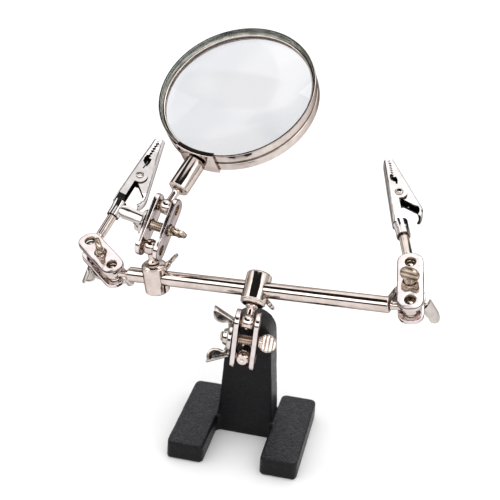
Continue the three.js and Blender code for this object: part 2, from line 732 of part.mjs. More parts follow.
const baseBall = new THREE.Vector3(0, -POST_DEPTH / 2 - BASE_BALL_REACH, BASE_BALL_HEIGHT);
const back = new THREE.Vector3(0, 1, 0);
const baseStud = ballStud(BASE_BALL_REACH - GAP, BARREL_NECK_RADIUS, BASE_BALL_REACH + BASE_SHANK_DEPTH);
addStud(helpingHands, 'base_ball_stud', baseBall, back, baseStud);
const centreBall = addBallClamp(helpingHands, 'centre', baseBall);

const crossbarAxis = direction(CROSSBAR_HEADING);
const centreAxis = squareToCrossbar(crossbarAxis, CENTRE_BARREL_LEAN);
const barrelStud = ballStud(
  BARREL_REACH - BARREL_HALF - GAP, BARREL_NECK_RADIUS, BARREL_REACH - ROD_RADIUS - 2 * GAP,
);
addStud(helpingHands, 'centre_barrel_ball_stud', centreBall, centreAxis, barrelStud);
const crossbarCentre = reached(centreBall, centreAxis, BARREL_REACH);
const barWay = crossbarAxis.clone().negate();
const studWay = centreAxis.clone().negate();
addBarrel(helpingHands, 'centre', crossbarCentre, barWay, studWay, CENTRE_PADDLE_TURN);

const bar = addPiece(helpingHands, 'crossbar', crossbar(), MATERIALS.nickel);
bar.position.copy(crossbarCentre);
bar.quaternion.copy(turnedTo(crossbarAxis, new THREE.Vector3(0, 0, 1)));

const sliderAxis = squareToCrossbar(crossbarAxis, SLIDER_BARREL_LEAN);
const sliderCentre = reached(crossbarCentre, crossbarAxis, SLIDER_POSITION);
addBarrel(helpingHands, 'slider', sliderCentre, crossbarAxis, sliderAxis, SLIDER_PADDLE_TURN);
const sliderBall = reached(sliderCentre, sliderAxis, BARREL_REACH);
addStud(helpingHands, 'slider_ball_stud', sliderBall, sliderAxis.clone().negate(), barrelStud);
const magnifierBall = addBallClamp(helpingHands, 'magnifier', sliderBall);
addMagnifier(helpingHands, magnifierBall);

const rodStud = ballStud(ROD_BALL_REACH - GAP, NECK_RADIUS + 0.3, ROD_BALL_REACH + ROD_BORE_DEPTH - GAP);
for (const [name, end, length] of [['left', -1, ROD_LEFT], ['right', 1, ROD_RIGHT]]) {
  const ball = reached(crossbarCentre, crossbarAxis, end * (length + ROD_BALL_REACH));
  addStud(helpingHands, `${name}_rod_ball_stud`, ball, crossbarAxis.clone().multiplyScalar(-end), rodStud);
  addClip(helpingHands, name, addBallClamp(helpingHands, name, ball));
}

export default helpingHands;
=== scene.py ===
"""Looks for a helping hands clamp: cast base, ball-jointed crossbar, spring clips and a magnifier.

Shapes are made in millimetres in each piece's own frame, then placed in the row frame in metres.
Frames come from the joints: their points and axes say where every ball, barrel and pivot is.
"""

import json
import math

import bmesh
import bpy
import numpy as np
from mathutils import Matrix, Vector, noise
from mathutils.geometry import tessellate_polygon


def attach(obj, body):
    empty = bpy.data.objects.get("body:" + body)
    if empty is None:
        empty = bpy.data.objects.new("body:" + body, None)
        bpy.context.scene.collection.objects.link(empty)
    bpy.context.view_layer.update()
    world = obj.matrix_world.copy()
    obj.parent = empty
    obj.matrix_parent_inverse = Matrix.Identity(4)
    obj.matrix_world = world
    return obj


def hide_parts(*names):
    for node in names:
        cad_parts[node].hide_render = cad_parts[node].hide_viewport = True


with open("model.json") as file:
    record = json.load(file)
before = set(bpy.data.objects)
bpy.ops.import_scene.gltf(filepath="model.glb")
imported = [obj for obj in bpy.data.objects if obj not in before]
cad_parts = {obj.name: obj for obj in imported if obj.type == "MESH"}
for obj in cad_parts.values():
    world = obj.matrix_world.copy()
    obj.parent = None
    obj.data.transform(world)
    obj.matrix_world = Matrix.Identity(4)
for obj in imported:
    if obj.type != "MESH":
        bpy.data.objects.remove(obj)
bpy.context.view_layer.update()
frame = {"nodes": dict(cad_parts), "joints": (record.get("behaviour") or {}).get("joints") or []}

# ---- Sizes in millimetres, as in the solids ----

MM = 0.001
GAP = 0.3
BALL_RADIUS = 3.2
BALL_FLAT = 2.5
NECK_RADIUS = 1.5
SHANK_RADIUS = 1.4
BASE_BALL_REACH = 8.7
BASE_SHANK_DEPTH = 8
BALL_SPACING = 17
SCREW_LINE = BALL_SPACING / 2
PLATE_INNER = 2.85
PLATE_THICK = 1.9
PLATE_OUTER = PLATE_INNER + PLATE_THICK
PLATE_HALF_WIDTH = 4.7
PLATE_END = 4.2
PLATE_CORNER = 4
BALL_HOLE_RADIUS = 2
CLAMP_SCREW_RADIUS = 2
CLAMP_SCREW_TAIL = 9.6
PADDLE_RADIUS = 3.6
PADDLE_THICK = 2.2
PADDLE_REACH = 8.4
NUT_BASE_THICK = 1.6
NUT_BASE_RADIUS = 5.2
NUT_HUB_LENGTH = 3.5
NUT_HUB_RADIUS = 3.6
NUT_TOP_RADIUS = 3
EAR_LENGTH = 8.7
EAR_HALF_WIDTH = 2.35
EAR_THICK = 1
EAR_SLOPE = 24.7
EAR_START_ALONG = 5.5
EAR_START_OUT = 6.5
BARREL_RADIUS = 4.9
BARREL_HALF = 6.4
BARREL_REACH = 13.5
BARREL_NECK_RADIUS = 2.4
SIDE_SCREW_RADIUS = 1.5
SIDE_SCREW_NECK = 11
SIDE_PADDLE_RADIUS = 3.9
SIDE_PADDLE_THICK = 1.5
SIDE_PADDLE_REACH = 13.8
ROD_RADIUS = 3
ROD_LEFT = 54.9
ROD_RIGHT = 52.3
ROD_BALL_REACH = 7.4
ROD_BORE_DEPTH = 4
CLIP_TIP = 58.4
CLIP_TAIL = 17
CLIP_STEM_END = 24
CLIP_STEM_NECK = 7.5
CLIP_STEM_RADIUS = 1.9
JAW_BACK_TAIL = -3.4
JAW_BACK_TIP = -2.1
JAW_FRONT_TIP = 2.1
TEETH_START = 49
TEETH_END = 57.1
TOOTH_PITCH = 1.35
WINDOW_MIDDLE = 46.7
WINDOW_HALF = 2
SHADE_SHEET_START = 44.4
SHADE_SHEET_END = 57.4
LEVER_START = 32.4
JAW_FLOOR_END = 44
COIL_REACH = 45
CRIMP_RADIUS = 2.35
FIXED_HALF_WIDTH = 3.1
MOVING_HALF_WIDTH = 2.1
SHEET = 0.6
COIL_RADIUS = 1.55
WIRE_RADIUS = 0.3
SOCKET_START = 8.5
SOCKET_END = 22.6
SOCKET_RADIUS = 4.2
SOCKET_BORE_DEPTH = 9
SOCKET_STEM_RADIUS = 1.9
LENS_REACH = 57.2
RIM_RADIUS = 33
RIM_WALL = 0.9
RIM_HEIGHT = 9.2
LENS_EDGE = 2.2
LENS_BULGE = 2.6
BRACKET_HALF_ANGLE = 15
BRACKET_SHEET = 0.9

# How paddles and wings stand about their screws, and which way the lens faces, in degrees.
PADDLE_TURN = {
    "centre": 135, "magnifier": 0, "left": 108, "right": 20, "centre barrel": 52, "slider barrel": 136,
}
WING_TURN = {"centre": 30, "magnifier": 268, "left": 135, "right": 118}
LENS_FACING = (-104.6, 54.1)

# Brightness of the even light that matt surfaces see, and of a card on the walls.
EVEN_LIGHT = 1.25
CARD_LIGHT = 0.02

# The softest angle that still shows as an edge, in degrees.
SMOOTH_ANGLE = 32


# ---- Frames ----

JOINTS = {joint["name"]: joint for joint in frame["joints"]}


def joint_point(name):
    return Vector(JOINTS[name]["pos_m"])


def joint_axis(name):
    return Vector(JOINTS[name]["axis"]).normalized()


def heading(turn, rise):
    t, r = math.radians(turn), math.radians(rise)
    return Vector((math.cos(r) * math.cos(t), math.cos(r) * math.sin(t), math.sin(r)))


def placed(origin, x, z):
    """From millimetres in a frame with this X axis, and Z as near as it can be, to the row frame in metres."""
    x = x.normalized()
    z = (z - x * z.dot(x)).normalized()
    turn = Matrix((x, z.cross(x), z)).transposed().to_4x4()
    return Matrix.Translation(origin) @ turn @ Matrix.Scale(MM, 4)


def along(origin, z):
    """The same for a frame that only needs its Z axis."""
    turn = Vector((0, 0, 1)).rotation_difference(z).to_matrix().to_4x4()
    return Matrix.Translation(origin) @ turn @ Matrix.Scale(MM, 4)


def on_joint(name):
    return along(joint_point(name), joint_axis(name))


def turned(axis, degrees):
    return Matrix.Rotation(math.radians(degrees), 4, axis)


def moved(x, y, z):
    return Matrix.Translation((x, y, z))


# A frame whose Z is the piece's X, one whose Z is its Y, and the one at the middle of the lens.
TO_X = Matrix(((0, 0, 1, 0), (0, 1, 0, 0), (-1, 0, 0, 0), (0, 0, 0, 1)))
TO_Y = Matrix(((1, 0, 0, 0), (0, 0, 1, 0), (0, -1, 0, 0), (0, 0, 0, 1)))
TO_LENS = moved(0, 0, LENS_REACH) @ TO_Y


# ---- Shapes ----


class Shape:
    """Points, faces and each face's material number."""

    def __init__(self, points=(), faces=(), mark=0):
        self.points = [tuple(p) for p in points]
        self.faces = [tuple(f) for f in faces]
        self.marks = [mark] * len(self.faces)

    def put(self, matrix):
        self.points = [tuple(matrix @ Vector(p)) for p in self.points]
        return self

    def add(self, *others):
        for other in others:
            start = len(self.points)
            self.points += other.points
            self.faces += [tuple(i + start for i in face) for face in other.faces]
            self.marks += other.marks
        return self


def between_rings(a, b, size):
    """Faces between two rings of points, the first starting at a and the second at b."""
    return [(a + k, a + (k + 1) % size, b + (k + 1) % size, b + k) for k in range(size)]


def eased(profile, radius, steps=4, closed=False):
    """Rounds the corners of a line of points."""
    points = [np.array(p, float) for p in profile]
    points = points[:1] + [q for p, q in zip(points, points[1:]) if np.linalg.norm(q - p) > 1e-6]
    count = len(points)
    out = [] if closed else [points[0]]
    for i in range(count) if closed else range(1, count - 1):
        before, at, after = points[i - 1], points[i], points[(i + 1) % count]
        a, b = before - at, after - at
        la, lb = np.linalg.norm(a), np.linalg.norm(b)
        cut = min(radius, 0.45 * la, 0.45 * lb)
        p, q = at + a / la * cut, at + b / lb * cut
        for k in range(steps + 1):
            t = k / steps
            out.append((1 - t) ** 2 * p + 2 * t * (1 - t) * at + t * t * q)
    if not closed:
        out.append(points[-1])
    return [tuple(p) for p in out]


def lathe(profile, facets=64, closed=False, sweep=None):
    """Turns (radius, height) points about Z. A closed profile makes a ring, a sweep in degrees part of it."""
    points, faces, rows = [], [], []
    turns = facets if sweep is None else facets + 1
    start, span = (0, 2 * math.pi) if sweep is None else map(math.radians, (sweep[0], sweep[1] - sweep[0]))
    for radius, height in profile:
        if radius < 1e-6:
            rows.append([len(points)] * turns)
            points.append((0, 0, height))
            continue
        rows.append(range(len(points), len(points) + turns))
        for k in range(turns):
            angle = start + span * k / facets
            points.append((radius * math.cos(angle), radius * math.sin(angle), height))
    pairs = list(zip(rows, rows[1:])) + ([(rows[-1], rows[0])] if closed else [])
    for low, high in pairs:
        for k in range(facets):
            n = (k + 1) % turns
            face = dict.fromkeys((low[k], low[n], high[n], high[k]))
            if len(face) > 2:
                faces.append(tuple(face))
    if sweep is not None:
        faces.append(tuple(row[0] for row in rows))
        faces.append(tuple(row[facets] for row in reversed(rows)))
    return Shape(points, faces)


def arc(x, y, radius, start, end, steps):
    angles = np.radians(np.linspace(start, end, steps + 1))
    return [(x + radius * math.cos(a), y + radius * math.sin(a)) for a in angles]


def shrunk(loop, distance):
    """A loop moved in by a distance, along the middle of each corner."""
    points = np.array(loop, float)
    ahead = np.roll(points, -1, 0) - points
    ahead /= np.linalg.norm(ahead, axis=1)[:, None] + 1e-12
    normals = np.stack([-ahead[:, 1], ahead[:, 0]], 1)
    both = normals + np.roll(normals, 1, 0)
    both /= np.maximum(1 + (normals * np.roll(normals, 1, 0)).sum(1), 0.3)[:, None]
    return points + both * distance


def slab(outline, holes, steps_in, hole_mark=0, line_mark=0):
    """A plate from (inset, height) steps. The outline runs anticlockwise and the holes clockwise."""
    loops = [np.array(outline, float)] + [np.array(hole, float) for hole in holes]
    points, faces, marks = [], [], []
    for number, loop in enumerate(loops):
        rings = []
        for inset, height in steps_in:
            rings.append(len(points))
            points += [(x, y, height) for x, y in shrunk(loop, inset)]
        size = len(loop)
        for step, (low, high) in enumerate(zip(rings, rings[1:])):
            faces += between_rings(low, high, size)
            line = line_mark if step >= len(rings) - 4 else 0
            marks += [hole_mark if number else line] * size
    for step, flip in ((0, True), (len(steps_in) - 1, False)):
        inset, height = steps_in[step]
        caps = [[Vector((x, y, 0)) for x, y in shrunk(loop, inset)] for loop in loops]
        index, start = [], 0
        for loop in loops:
            index += [start + step * len(loop) + k for k in range(len(loop))]
            start += len(loop) * len(steps_in)
        for a, b, c in tessellate_polygon(caps):
            faces.append((index[c], index[b], index[a]) if flip else (index[a], index[b], index[c]))
            marks.append(0)
    shape = Shape(points, faces)
    shape.marks = marks
    return shape


def edges(low, high, ease, steps=3):
    """(inset, height) steps of a plate's rounded edge."""
    angles = [math.pi / 2 * k / steps for k in range(steps + 1)]
    bottom = [(ease * (1 - math.sin(a)), low + ease * (1 - math.cos(a))) for a in angles]
    return bottom + [(inset, low + high - height) for inset, height in reversed(bottom)]


def ring_loop(x, y, radius, steps=40):
    """A hole's outline, clockwise."""
    return arc(x, y, radius, 360, 360 / steps, steps - 1)


def rounded_box(x0, y0, x1, y1, radius, steps=12):
    corners = [(x1, y0, -90), (x1, y1, 0), (x0, y1, 90), (x0, y0, 180)]
    loop = []
    for x, y, start in corners:
        cx = x - radius if x == x1 else x + radius
        cy = y - radius if y == y1 else y + radius
        loop += arc(cx, cy, radius, start, start + 90, steps)
    return loop


def thread(radius, depth, pitch, start, end, facets=40, tip=0.5):
    """A screw thread along Z with a chamfered point at its start."""
    rows = int((end - start) / pitch * 8)
    points, faces = [(0, 0, start)], []
    for i in range(rows + 1):
        z = start + (end - start) * i / rows
        fade = min(1, (z - start) / tip, (end - z) / 0.3)
        for k in range(facets):
            angle = 2 * math.pi * k / facets
            phase = (z / pitch - k / facets) % 1
            wave = 0.5 + 0.5 * math.cos(2 * math.pi * phase)
            r = radius - depth * (1 - wave * max(fade, 0)) - 0.35 * max(0, 1 - (z - start) / tip)
            points.append((r * math.cos(angle), r * math.sin(angle), z))
    for k in range(facets):
        faces.append((0, 1 + (k + 1) % facets, 1 + k))
    for i in range(rows):
        faces += between_rings(1 + i * facets, 1 + (i + 1) * facets, facets)
    faces.append(tuple(1 + rows * facets + k for k in range(facets)))
    return Shape(points, faces)


# ---- Materials ----


def new_material(name):
    """A material, its nodes, links and shader, and the place in the object that its patterns lie by."""
    material = bpy.data.materials.new(name)
    material.use_nodes = True
    nodes = material.node_tree.nodes
    place = nodes.new("ShaderNodeTexCoord").outputs["Object"]
    return material, nodes, material.node_tree.links, nodes["Principled BSDF"], place


def add_node(nodes, kind, **settings):
    node = nodes.new(kind)
    for key, value in settings.items():
        if key in node.inputs:
            node.inputs[key].default_value = value
        else:
            setattr(node, key, value)
    return node


def noise_ramp(nodes, links, place, scale, stops, detail=4.0, roughness=0.55):
    """A noise pattern through a ramp of (position, colour) stops."""
    pattern = add_node(nodes, "ShaderNodeTexNoise", Scale=scale, Detail=detail, Roughness=roughness)
    ramp = nodes.new("ShaderNodeValToRGB")
    links.new(place, pattern.inputs["Vector"])
    links.new(pattern.outputs["Fac"], ramp.inputs["Fac"])
    while len(ramp.color_ramp.elements) < len(stops):
        ramp.color_ramp.elements.new(0.5)
    for element, (position, colour) in zip(ramp.color_ramp.elements, stops):
        element.position = position
        element.color = (*colour, 1) if len(colour) == 3 else colour
    return ramp.outputs["Color"]


def grey(value):
    return (value, value, value)


def bump_from(nodes, links, shader, height, strength, distance, before=None):
    bump = add_node(nodes, "ShaderNodeBump", Strength=strength, Distance=distance)
    links.new(height, bump.inputs["Height"])
    if before is not None:
        links.new(before, bump.inputs["Normal"])
    links.new(bump.outputs["Normal"], shader.inputs["Normal"])
    return bump.outputs["Normal"]


def plated(name, light, dark, rough_low, rough_high, wave=0.10, grain=0.04):
    """Bright plating: faint waviness from polishing, fine scratches, and a little dulling in patches."""
    material, nodes, links, shader, place = new_material(name)
    colour = noise_ramp(nodes, links, place, 260, [(0.35, dark), (0.62, light)])
    rough = noise_ramp(nodes, links, place, 420, [(0.3, grey(rough_low)), (0.75, grey(rough_high))])
    links.new(colour, shader.inputs["Base Color"])
    links.new(rough, shader.inputs["Roughness"])
    shader.inputs["Metallic"].default_value = 1
    shader.inputs["Specular Tint"].default_value = (0.16, 0.14, 0.13, 1)
    slow = add_node(nodes, "ShaderNodeTexNoise", Scale=170.0, Detail=1.5)
    fine = add_node(nodes, "ShaderNodeTexNoise", Scale=2600.0, Detail=3.0)
    links.new(place, slow.inputs["Vector"])
    links.new(place, fine.inputs["Vector"])
    first = bump_from(nodes, links, shader, slow.outputs["Fac"], wave, 0.0008)
    bump_from(nodes, links, shader, fine.outputs["Fac"], grain, 0.0001, first)
    return material


def casting_paint():
    """Black paint over a sand casting: fine pits, faint pale specks, and upward faces painted lighter in
    specks as painted top light.
    """
    material, nodes, links, shader, place = new_material("casting_paint")
    colour = noise_ramp(
        nodes, links, place, 900,
        [(0.3, (0.0008, 0.0008, 0.0012)), (0.55, (0.0022, 0.0021, 0.0032)), (0.72, (0.009, 0.009, 0.012))],
    )
    # Painted top light: a lighter speckled colour mixed onto faces that point up, so the tops read as lit from
    # above.
    top_light_specks = noise_ramp(
        nodes, links, place, 1500, [(0.45, (0.010, 0.0095, 0.013)), (0.7, (0.05, 0.048, 0.055))],
    )
    upward = nodes.new("ShaderNodeSeparateXYZ")
    links.new(nodes.new("ShaderNodeNewGeometry").outputs["Normal"], upward.inputs[0])
    level = add_node(nodes, "ShaderNodeMapRange")
    level.inputs["From Min"].default_value, level.inputs["From Max"].default_value = 0.75, 0.97
    links.new(upward.outputs["Z"], level.inputs["Value"])
    mixed = add_node(nodes, "ShaderNodeMix", data_type="RGBA")
    links.new(level.outputs["Result"], mixed.inputs["Factor"])
    links.new(colour, mixed.inputs["A"])
    links.new(top_light_specks, mixed.inputs["B"])
    colour = mixed.outputs["Result"]
    rough = noise_ramp(nodes, links, place, 500, [(0.3, grey(0.34)), (0.75, grey(0.5))])
    links.new(colour, shader.inputs["Base Color"])
    links.new(rough, shader.inputs["Roughness"])
    shader.inputs["Specular IOR Level"].default_value = 0.2
    coarse = add_node(nodes, "ShaderNodeTexNoise", Scale=700.0, Detail=5.0, Roughness=0.65)
    pits = add_node(nodes, "ShaderNodeTexVoronoi", Scale=1300.0)
    links.new(place, coarse.inputs["Vector"])
    links.new(place, pits.inputs["Vector"])
    first = bump_from(nodes, links, shader, coarse.outputs["Fac"], 0.75, 0.0004)
    bump_from(nodes, links, shader, pits.outputs["Distance"], 0.35, 0.0002, first)
    return material


def lens_glass():
    material, nodes, links, shader, place = new_material("lens_glass")
    colour = noise_ramp(
        nodes, links, place, 24, [(0.47, (0.685, 0.69, 0.715)), (0.53, (0.735, 0.735, 0.755))], detail=1.0,
    )
    rough = noise_ramp(nodes, links, place, 60, [(0.7, grey(0.0)), (0.98, grey(0.003))])
    links.new(colour, shader.inputs["Base Color"])
    links.new(rough, shader.inputs["Roughness"])
    shader.inputs["Transmission Weight"].default_value = 1
    shader.inputs["IOR"].default_value = 1.5
    return material


BRIGHT = plated("bright_nickel", (0.67, 0.585, 0.54), (0.56, 0.475, 0.43), 0.04, 0.10)
PLATE = plated("plate_nickel", (0.74, 0.665, 0.66), (0.65, 0.575, 0.565), 0.07, 0.16, wave=0.14)
CLIP = plated("clip_nickel", (0.76, 0.73, 0.72), (0.66, 0.62, 0.61), 0.06, 0.16, wave=0.14)
RIM = plated("rim_nickel", (0.72, 0.635, 0.595), (0.60, 0.515, 0.47), 0.04, 0.10, wave=0.14)
RIM_INSIDE = plated("rim_inside", (0.54, 0.60, 0.57), (0.36, 0.42, 0.39), 0.2, 0.4)
SCREW = plated("screw_nickel", (0.66, 0.56, 0.48), (0.44, 0.36, 0.29), 0.12, 0.28, grain=0.1)
# Near-black inside of the clip jaws and of the sheet along their middle: painted shade, with a rougher,
# unpolished finish.
CLIP_TROUGH_SHADE = plated("clip_trough_painted_shade", (0.050, 0.036, 0.026), (0.016, 0.011, 0.008), 0.3, 0.5)
# Dark lines on plate and sheet edges, the rim's groove and top corner, and the bracket's lips: painted dark
# reflection and painted shade.
PAINTED_DARK_EDGE = plated("painted_dark_edge", (0.24, 0.20, 0.18), (0.10, 0.08, 0.07), 0.12, 0.25)
# Dark brown on the walls of plate holes, in paddle grooves and on balls inside plate holes: painted shade.
PAINTED_SHADE = plated("painted_shade_brown", (0.42, 0.33, 0.24), (0.18, 0.14, 0.10), 0.2, 0.4)
# Near-black inside the rivet's hollow: painted shade.
RIVET_HOLLOW_SHADE = plated("rivet_hollow_painted_shade", (0.020, 0.016, 0.013), (0.008, 0.006, 0.005), 0.5, 0.7)
NUT = plated("nut_nickel", (0.60, 0.55, 0.52), (0.46, 0.42, 0.39), 0.08, 0.18, wave=0.14)
SPRING = plated("spring_wire", (0.45, 0.41, 0.38), (0.30, 0.27, 0.25), 0.2, 0.35, grain=0.1)
CASTING = casting_paint()
GLASS = lens_glass()


# ---- Making pieces ----


def new_object(name, data):
    thing = bpy.data.objects.new(name, data)
    bpy.context.collection.objects.link(thing)
    return thing


def finish_mesh(mesh):
    work = bmesh.new()
    work.from_mesh(mesh)
    bmesh.ops.remove_doubles(work, verts=work.verts, dist=2e-6)
    bmesh.ops.recalc_face_normals(work, faces=work.faces)
    work.to_mesh(mesh)
    work.free()
    mesh.shade_smooth()
    mesh.set_sharp_from_angle(angle=math.radians(SMOOTH_ANGLE))


def raw_object(name, shape, place, looks=()):
    mesh = bpy.data.meshes.new(name)
    mesh.from_pydata([place @ Vector(p) for p in shape.points], [], shape.faces)
    for look in looks:
        mesh.materials.append(look)
    mesh.polygons.foreach_set("material_index", shape.marks)
    return new_object(name, mesh)


def baked(piece):
    """Applies a piece's modifiers."""
    bpy.context.view_layer.update()
    solid = piece.evaluated_get(bpy.context.evaluated_depsgraph_get())
    old = piece.data
    piece.data = bpy.data.meshes.new_from_object(solid)
    piece.modifiers.clear()
    bpy.data.meshes.remove(old)


def cut_away(piece, cutters):
    for cutter in cutters:
        finish_mesh(cutter.data)
        knife = piece.modifiers.new("cut", "BOOLEAN")
        knife.operation, knife.solver, knife.object = "DIFFERENCE", "EXACT", cutter
    baked(piece)
    for cutter in cutters:
        bpy.data.objects.remove(cutter)


def hand_over(piece, body, slot, *nodes):
    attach(piece, body)
    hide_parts(*nodes)


def make(node, shape, place, body, slot, look, cutters=(), sheet=0):
    """One finished piece that stands for a CAD node."""
    looks = look if isinstance(look, (list, tuple)) else [look]
    piece = raw_object(node + "_fine", shape, place, looks)
    finish_mesh(piece.data)
    if cutters:
        cut_away(piece, [raw_object("cutter", cutter, place) for cutter in cutters])
        finish_mesh(piece.data)
    if sheet:
        thick = piece.modifiers.new("sheet", "SOLIDIFY")
        thick.thickness, thick.offset, thick.use_even_offset = sheet * MM, 0, True
        # With three looks, the sheet's second face takes the second and its cut edges the third: on the clips
        # these are painted shade and painted dark edges.
        if len(looks) > 2:
            thick.material_offset, thick.material_offset_rim = 1, 2
        baked(piece)
        finish_mesh(piece.data)
    hand_over(piece, body, slot, node)


# ---- Base casting ----


def make_base():
    """A voxel remesh of the casting's solid, softened and roughened like sand-cast iron."""
    source = frame["nodes"]["base_casting"]
    piece = new_object("base_casting_fine", source.data.copy())
    remesh = piece.modifiers.new("even", "REMESH")
    remesh.mode, remesh.voxel_size = "VOXEL", 0.5 * MM
    soft = piece.modifiers.new("soft", "SMOOTH")
    soft.factor, soft.iterations = 0.5, 3
    baked(piece)
    mesh = piece.data
    mesh.materials.clear()
    mesh.materials.append(CASTING)
    count = len(mesh.vertices)
    points, normals = np.empty(count * 3), np.empty(count * 3)
    mesh.vertices.foreach_get("co", points)
    mesh.vertices.foreach_get("normal", normals)
    points, normals = points.reshape(-1, 3), normals.reshape(-1, 3)
    for i, point in enumerate(points):
        if point[2] > 0.4 * MM:
            spot = Vector(point)
            point += normals[i] * (0.10 * noise.noise(spot * 160) + 0.05 * noise.noise(spot * 700)) * MM
    mesh.vertices.foreach_set("co", points.ravel())
    mesh.polygons.foreach_set("material_index", [0] * len(mesh.polygons))
    mesh.shade_smooth()
    hand_over(piece, "base", "black_casting", "base_casting")


# ---- Ball studs ----


def ball_stud(neck_end, collar_radius, shank_end, shank_radius=SHANK_RADIUS):
    start = math.asin(-BALL_FLAT / BALL_RADIUS)
    end = math.acos(NECK_RADIUS / BALL_RADIUS)
    ball = [(0.0, -BALL_FLAT + 0.5), (0.5, -BALL_FLAT + 0.15), (0.7, -BALL_FLAT)]
    for k in range(25):
        angle = start + (end - start) * k / 24
        ball.append((BALL_RADIUS * math.cos(angle), BALL_RADIUS * math.sin(angle)))
    neck = eased([
        ball[-1], (NECK_RADIUS, ball[-1][1] + 0.5), (NECK_RADIUS, neck_end - 1.7),
        (collar_radius - 0.2, neck_end - 0.9), (collar_radius, neck_end - 0.7),
        (collar_radius, neck_end), (shank_radius, neck_end), (shank_radius, shank_end), (0, shank_end),
    ], 0.25)
    return lathe(ball + neck[1:], 56)


def shade_under_holes(shape, place, screw_axis):
    """Marks the part of a ball under the holes of its clamp's plates for painted shade."""
    axis = (place.inverted().to_3x3() @ screw_axis).normalized()
    for number, face in enumerate(shape.faces):
        middle = sum((Vector(shape.points[i]) for i in face), Vector()) / len(face)
        if middle.length < BALL_RADIUS + 0.1 and 0.66 < abs(middle.normalized().dot(axis)) < 0.96:
            shape.marks[number] = 1


def make_stud(node, shape, place, body, clamp):
    shade_under_holes(shape, place, joint_axis(f"{clamp}_clamp_swing"))
    make(node, shape, place, body, "bright_nickel", [BRIGHT, PAINTED_SHADE])


def make_studs():
    base_stud = (BASE_BALL_REACH - GAP, BARREL_NECK_RADIUS, BASE_BALL_REACH + BASE_SHANK_DEPTH)
    make_stud("base_ball_stud", ball_stud(*base_stud),
              on_joint("base_stud_turn"), "base_stud", "centre")
    barrel_stud = (BARREL_REACH - BARREL_HALF - GAP, BARREL_NECK_RADIUS, BARREL_REACH - ROD_RADIUS - 2 * GAP)
    upper = joint_point("centre_barrel_stud_swing")
    make_stud("centre_barrel_ball_stud", ball_stud(*barrel_stud),
              along(upper, (joint_point("centre_barrel_turn") - upper).normalized()),
              "centre_barrel_stud", "centre")
    slider = joint_point("slider_stud_turn")
    make_stud("slider_ball_stud", ball_stud(*barrel_stud),
              along(slider, (joint_point("slider_thumbscrew_turn") - slider).normalized()),
              "slider_stud", "magnifier")
    socket_end = SOCKET_START + SOCKET_BORE_DEPTH - GAP
    make_stud("magnifier_ball_stud",
              ball_stud(SOCKET_START - GAP, SOCKET_STEM_RADIUS, socket_end, SOCKET_STEM_RADIUS - 0.1),
              on_joint("magnifier_head_turn"),
              "magnifier_stud", "magnifier")
    rod_stud = (ROD_BALL_REACH - GAP, NECK_RADIUS + 0.3, ROD_BALL_REACH + ROD_BORE_DEPTH - GAP)
    clip_stem = (CLIP_STEM_NECK, CLIP_STEM_RADIUS, CLIP_STEM_END, CLIP_STEM_RADIUS)
    for side, sign in (("left", 1), ("right", -1)):
        make_stud(f"{side}_rod_ball_stud", ball_stud(*rod_stud),
                  along(joint_point(f"{side}_rod_stud_turn"), joint_axis("crossbar_slide") * sign),
                  f"{side}_rod_stud", side)
        make_stud(f"{side}_clip_stem", ball_stud(*clip_stem),
                  on_joint(f"{side}_clip_turn"),
                  f"{side}_clip_stem", side)


# ---- Ball clamps ----


def clamp_plate(side):
    """Lies across X, with its outer edges painted dark as painted dark reflection and the walls of its holes
    painted dark as painted shade, each in a look of its own.
    """
    outline = rounded_box(
        -PLATE_HALF_WIDTH, -PLATE_END, PLATE_HALF_WIDTH, BALL_SPACING + PLATE_END, PLATE_CORNER, 14,
    )
    holes = [ring_loop(0, z, BALL_HOLE_RADIUS - 0.1) for z in (0, BALL_SPACING)]
    holes.append(ring_loop(0, SCREW_LINE, CLAMP_SCREW_RADIUS + GAP))
    shape = slab(outline, holes, edges(PLATE_INNER, PLATE_OUTER, 0.35, 4), hole_mark=2, line_mark=1)
    shape.put(Matrix(((0, 0, 1, 0), (1, 0, 0, 0), (0, 1, 0, 0), (0, 0, 0, 1))))
    if side < 0:
        shape.put(Matrix.Scale(-1, 4, (1, 0, 0)))
    return shape


def ridged_paddle(reach, radius, thick, ridges):
    """A flattened screw end: a round leaf in the XZ plane, ridged across its faces and thinner at the tip."""
    shape, rings, facets = Shape(), 20, 72
    wave = math.pi * ridges / radius
    for side in (1, -1):
        points = []
        for i in range(rings + 1):
            share = i / rings
            for k in range(facets):
                angle = 2 * math.pi * k / facets
                x, z = share * radius * math.cos(angle), share * radius * math.sin(angle)
                lift = 0.5 * thick * (1.12 - 0.22 * x / radius)
                groove = 0.5 - 0.5 * math.cos(wave * x)
                lift -= 0.3 * groove * (1 - share ** 10)
                lift *= math.sqrt(max(0.0, 1 - share ** 12))
                points.append((reach + x, side * lift, z))
        faces = []
        for i in range(rings):
            faces += between_rings(i * facets, (i + 1) * facets, facets)
        half = Shape(points, faces, 1)
        # Faces in each groove between ridges take a dark look: painted shade.
        for number, face in enumerate(faces):
            x = sum(points[i][0] for i in face) / len(face) - reach
            if math.cos(wave * x) < -0.35:
                half.marks[number] = 2
        shape.add(half)
    return shape


def clamp_screw(ridges):
    head = PLATE_OUTER + GAP
    shaft = thread(CLAMP_SCREW_RADIUS, 0.32, 0.8, -CLAMP_SCREW_TAIL, head - 0.2).put(TO_X)
    neck = lathe(eased([
        (0, head), (2.2, head), (2.2, head + 0.4), (1.9, head + 0.7), (1.8, head + 1.6), (0, head + 1.8),
    ], 0.2), 48).put(TO_X)
    return shaft.add(neck, ridged_paddle(PADDLE_REACH, PADDLE_RADIUS, PADDLE_THICK, ridges))


# The web of one wing, as (along the screw, out from its axis) points.
WING_OUTLINE = (
    (5.1, 3.2), (5.1, 6.4), (5.6, 6.9), (12.6, 10), (13.4, 9.8), (13.7, 9), (13.7, 8), (13.1, 6.2),
    (11.6, 5.1), (9.5, 4.9), (7.6, 5.6), (7.1, 3.2),
)


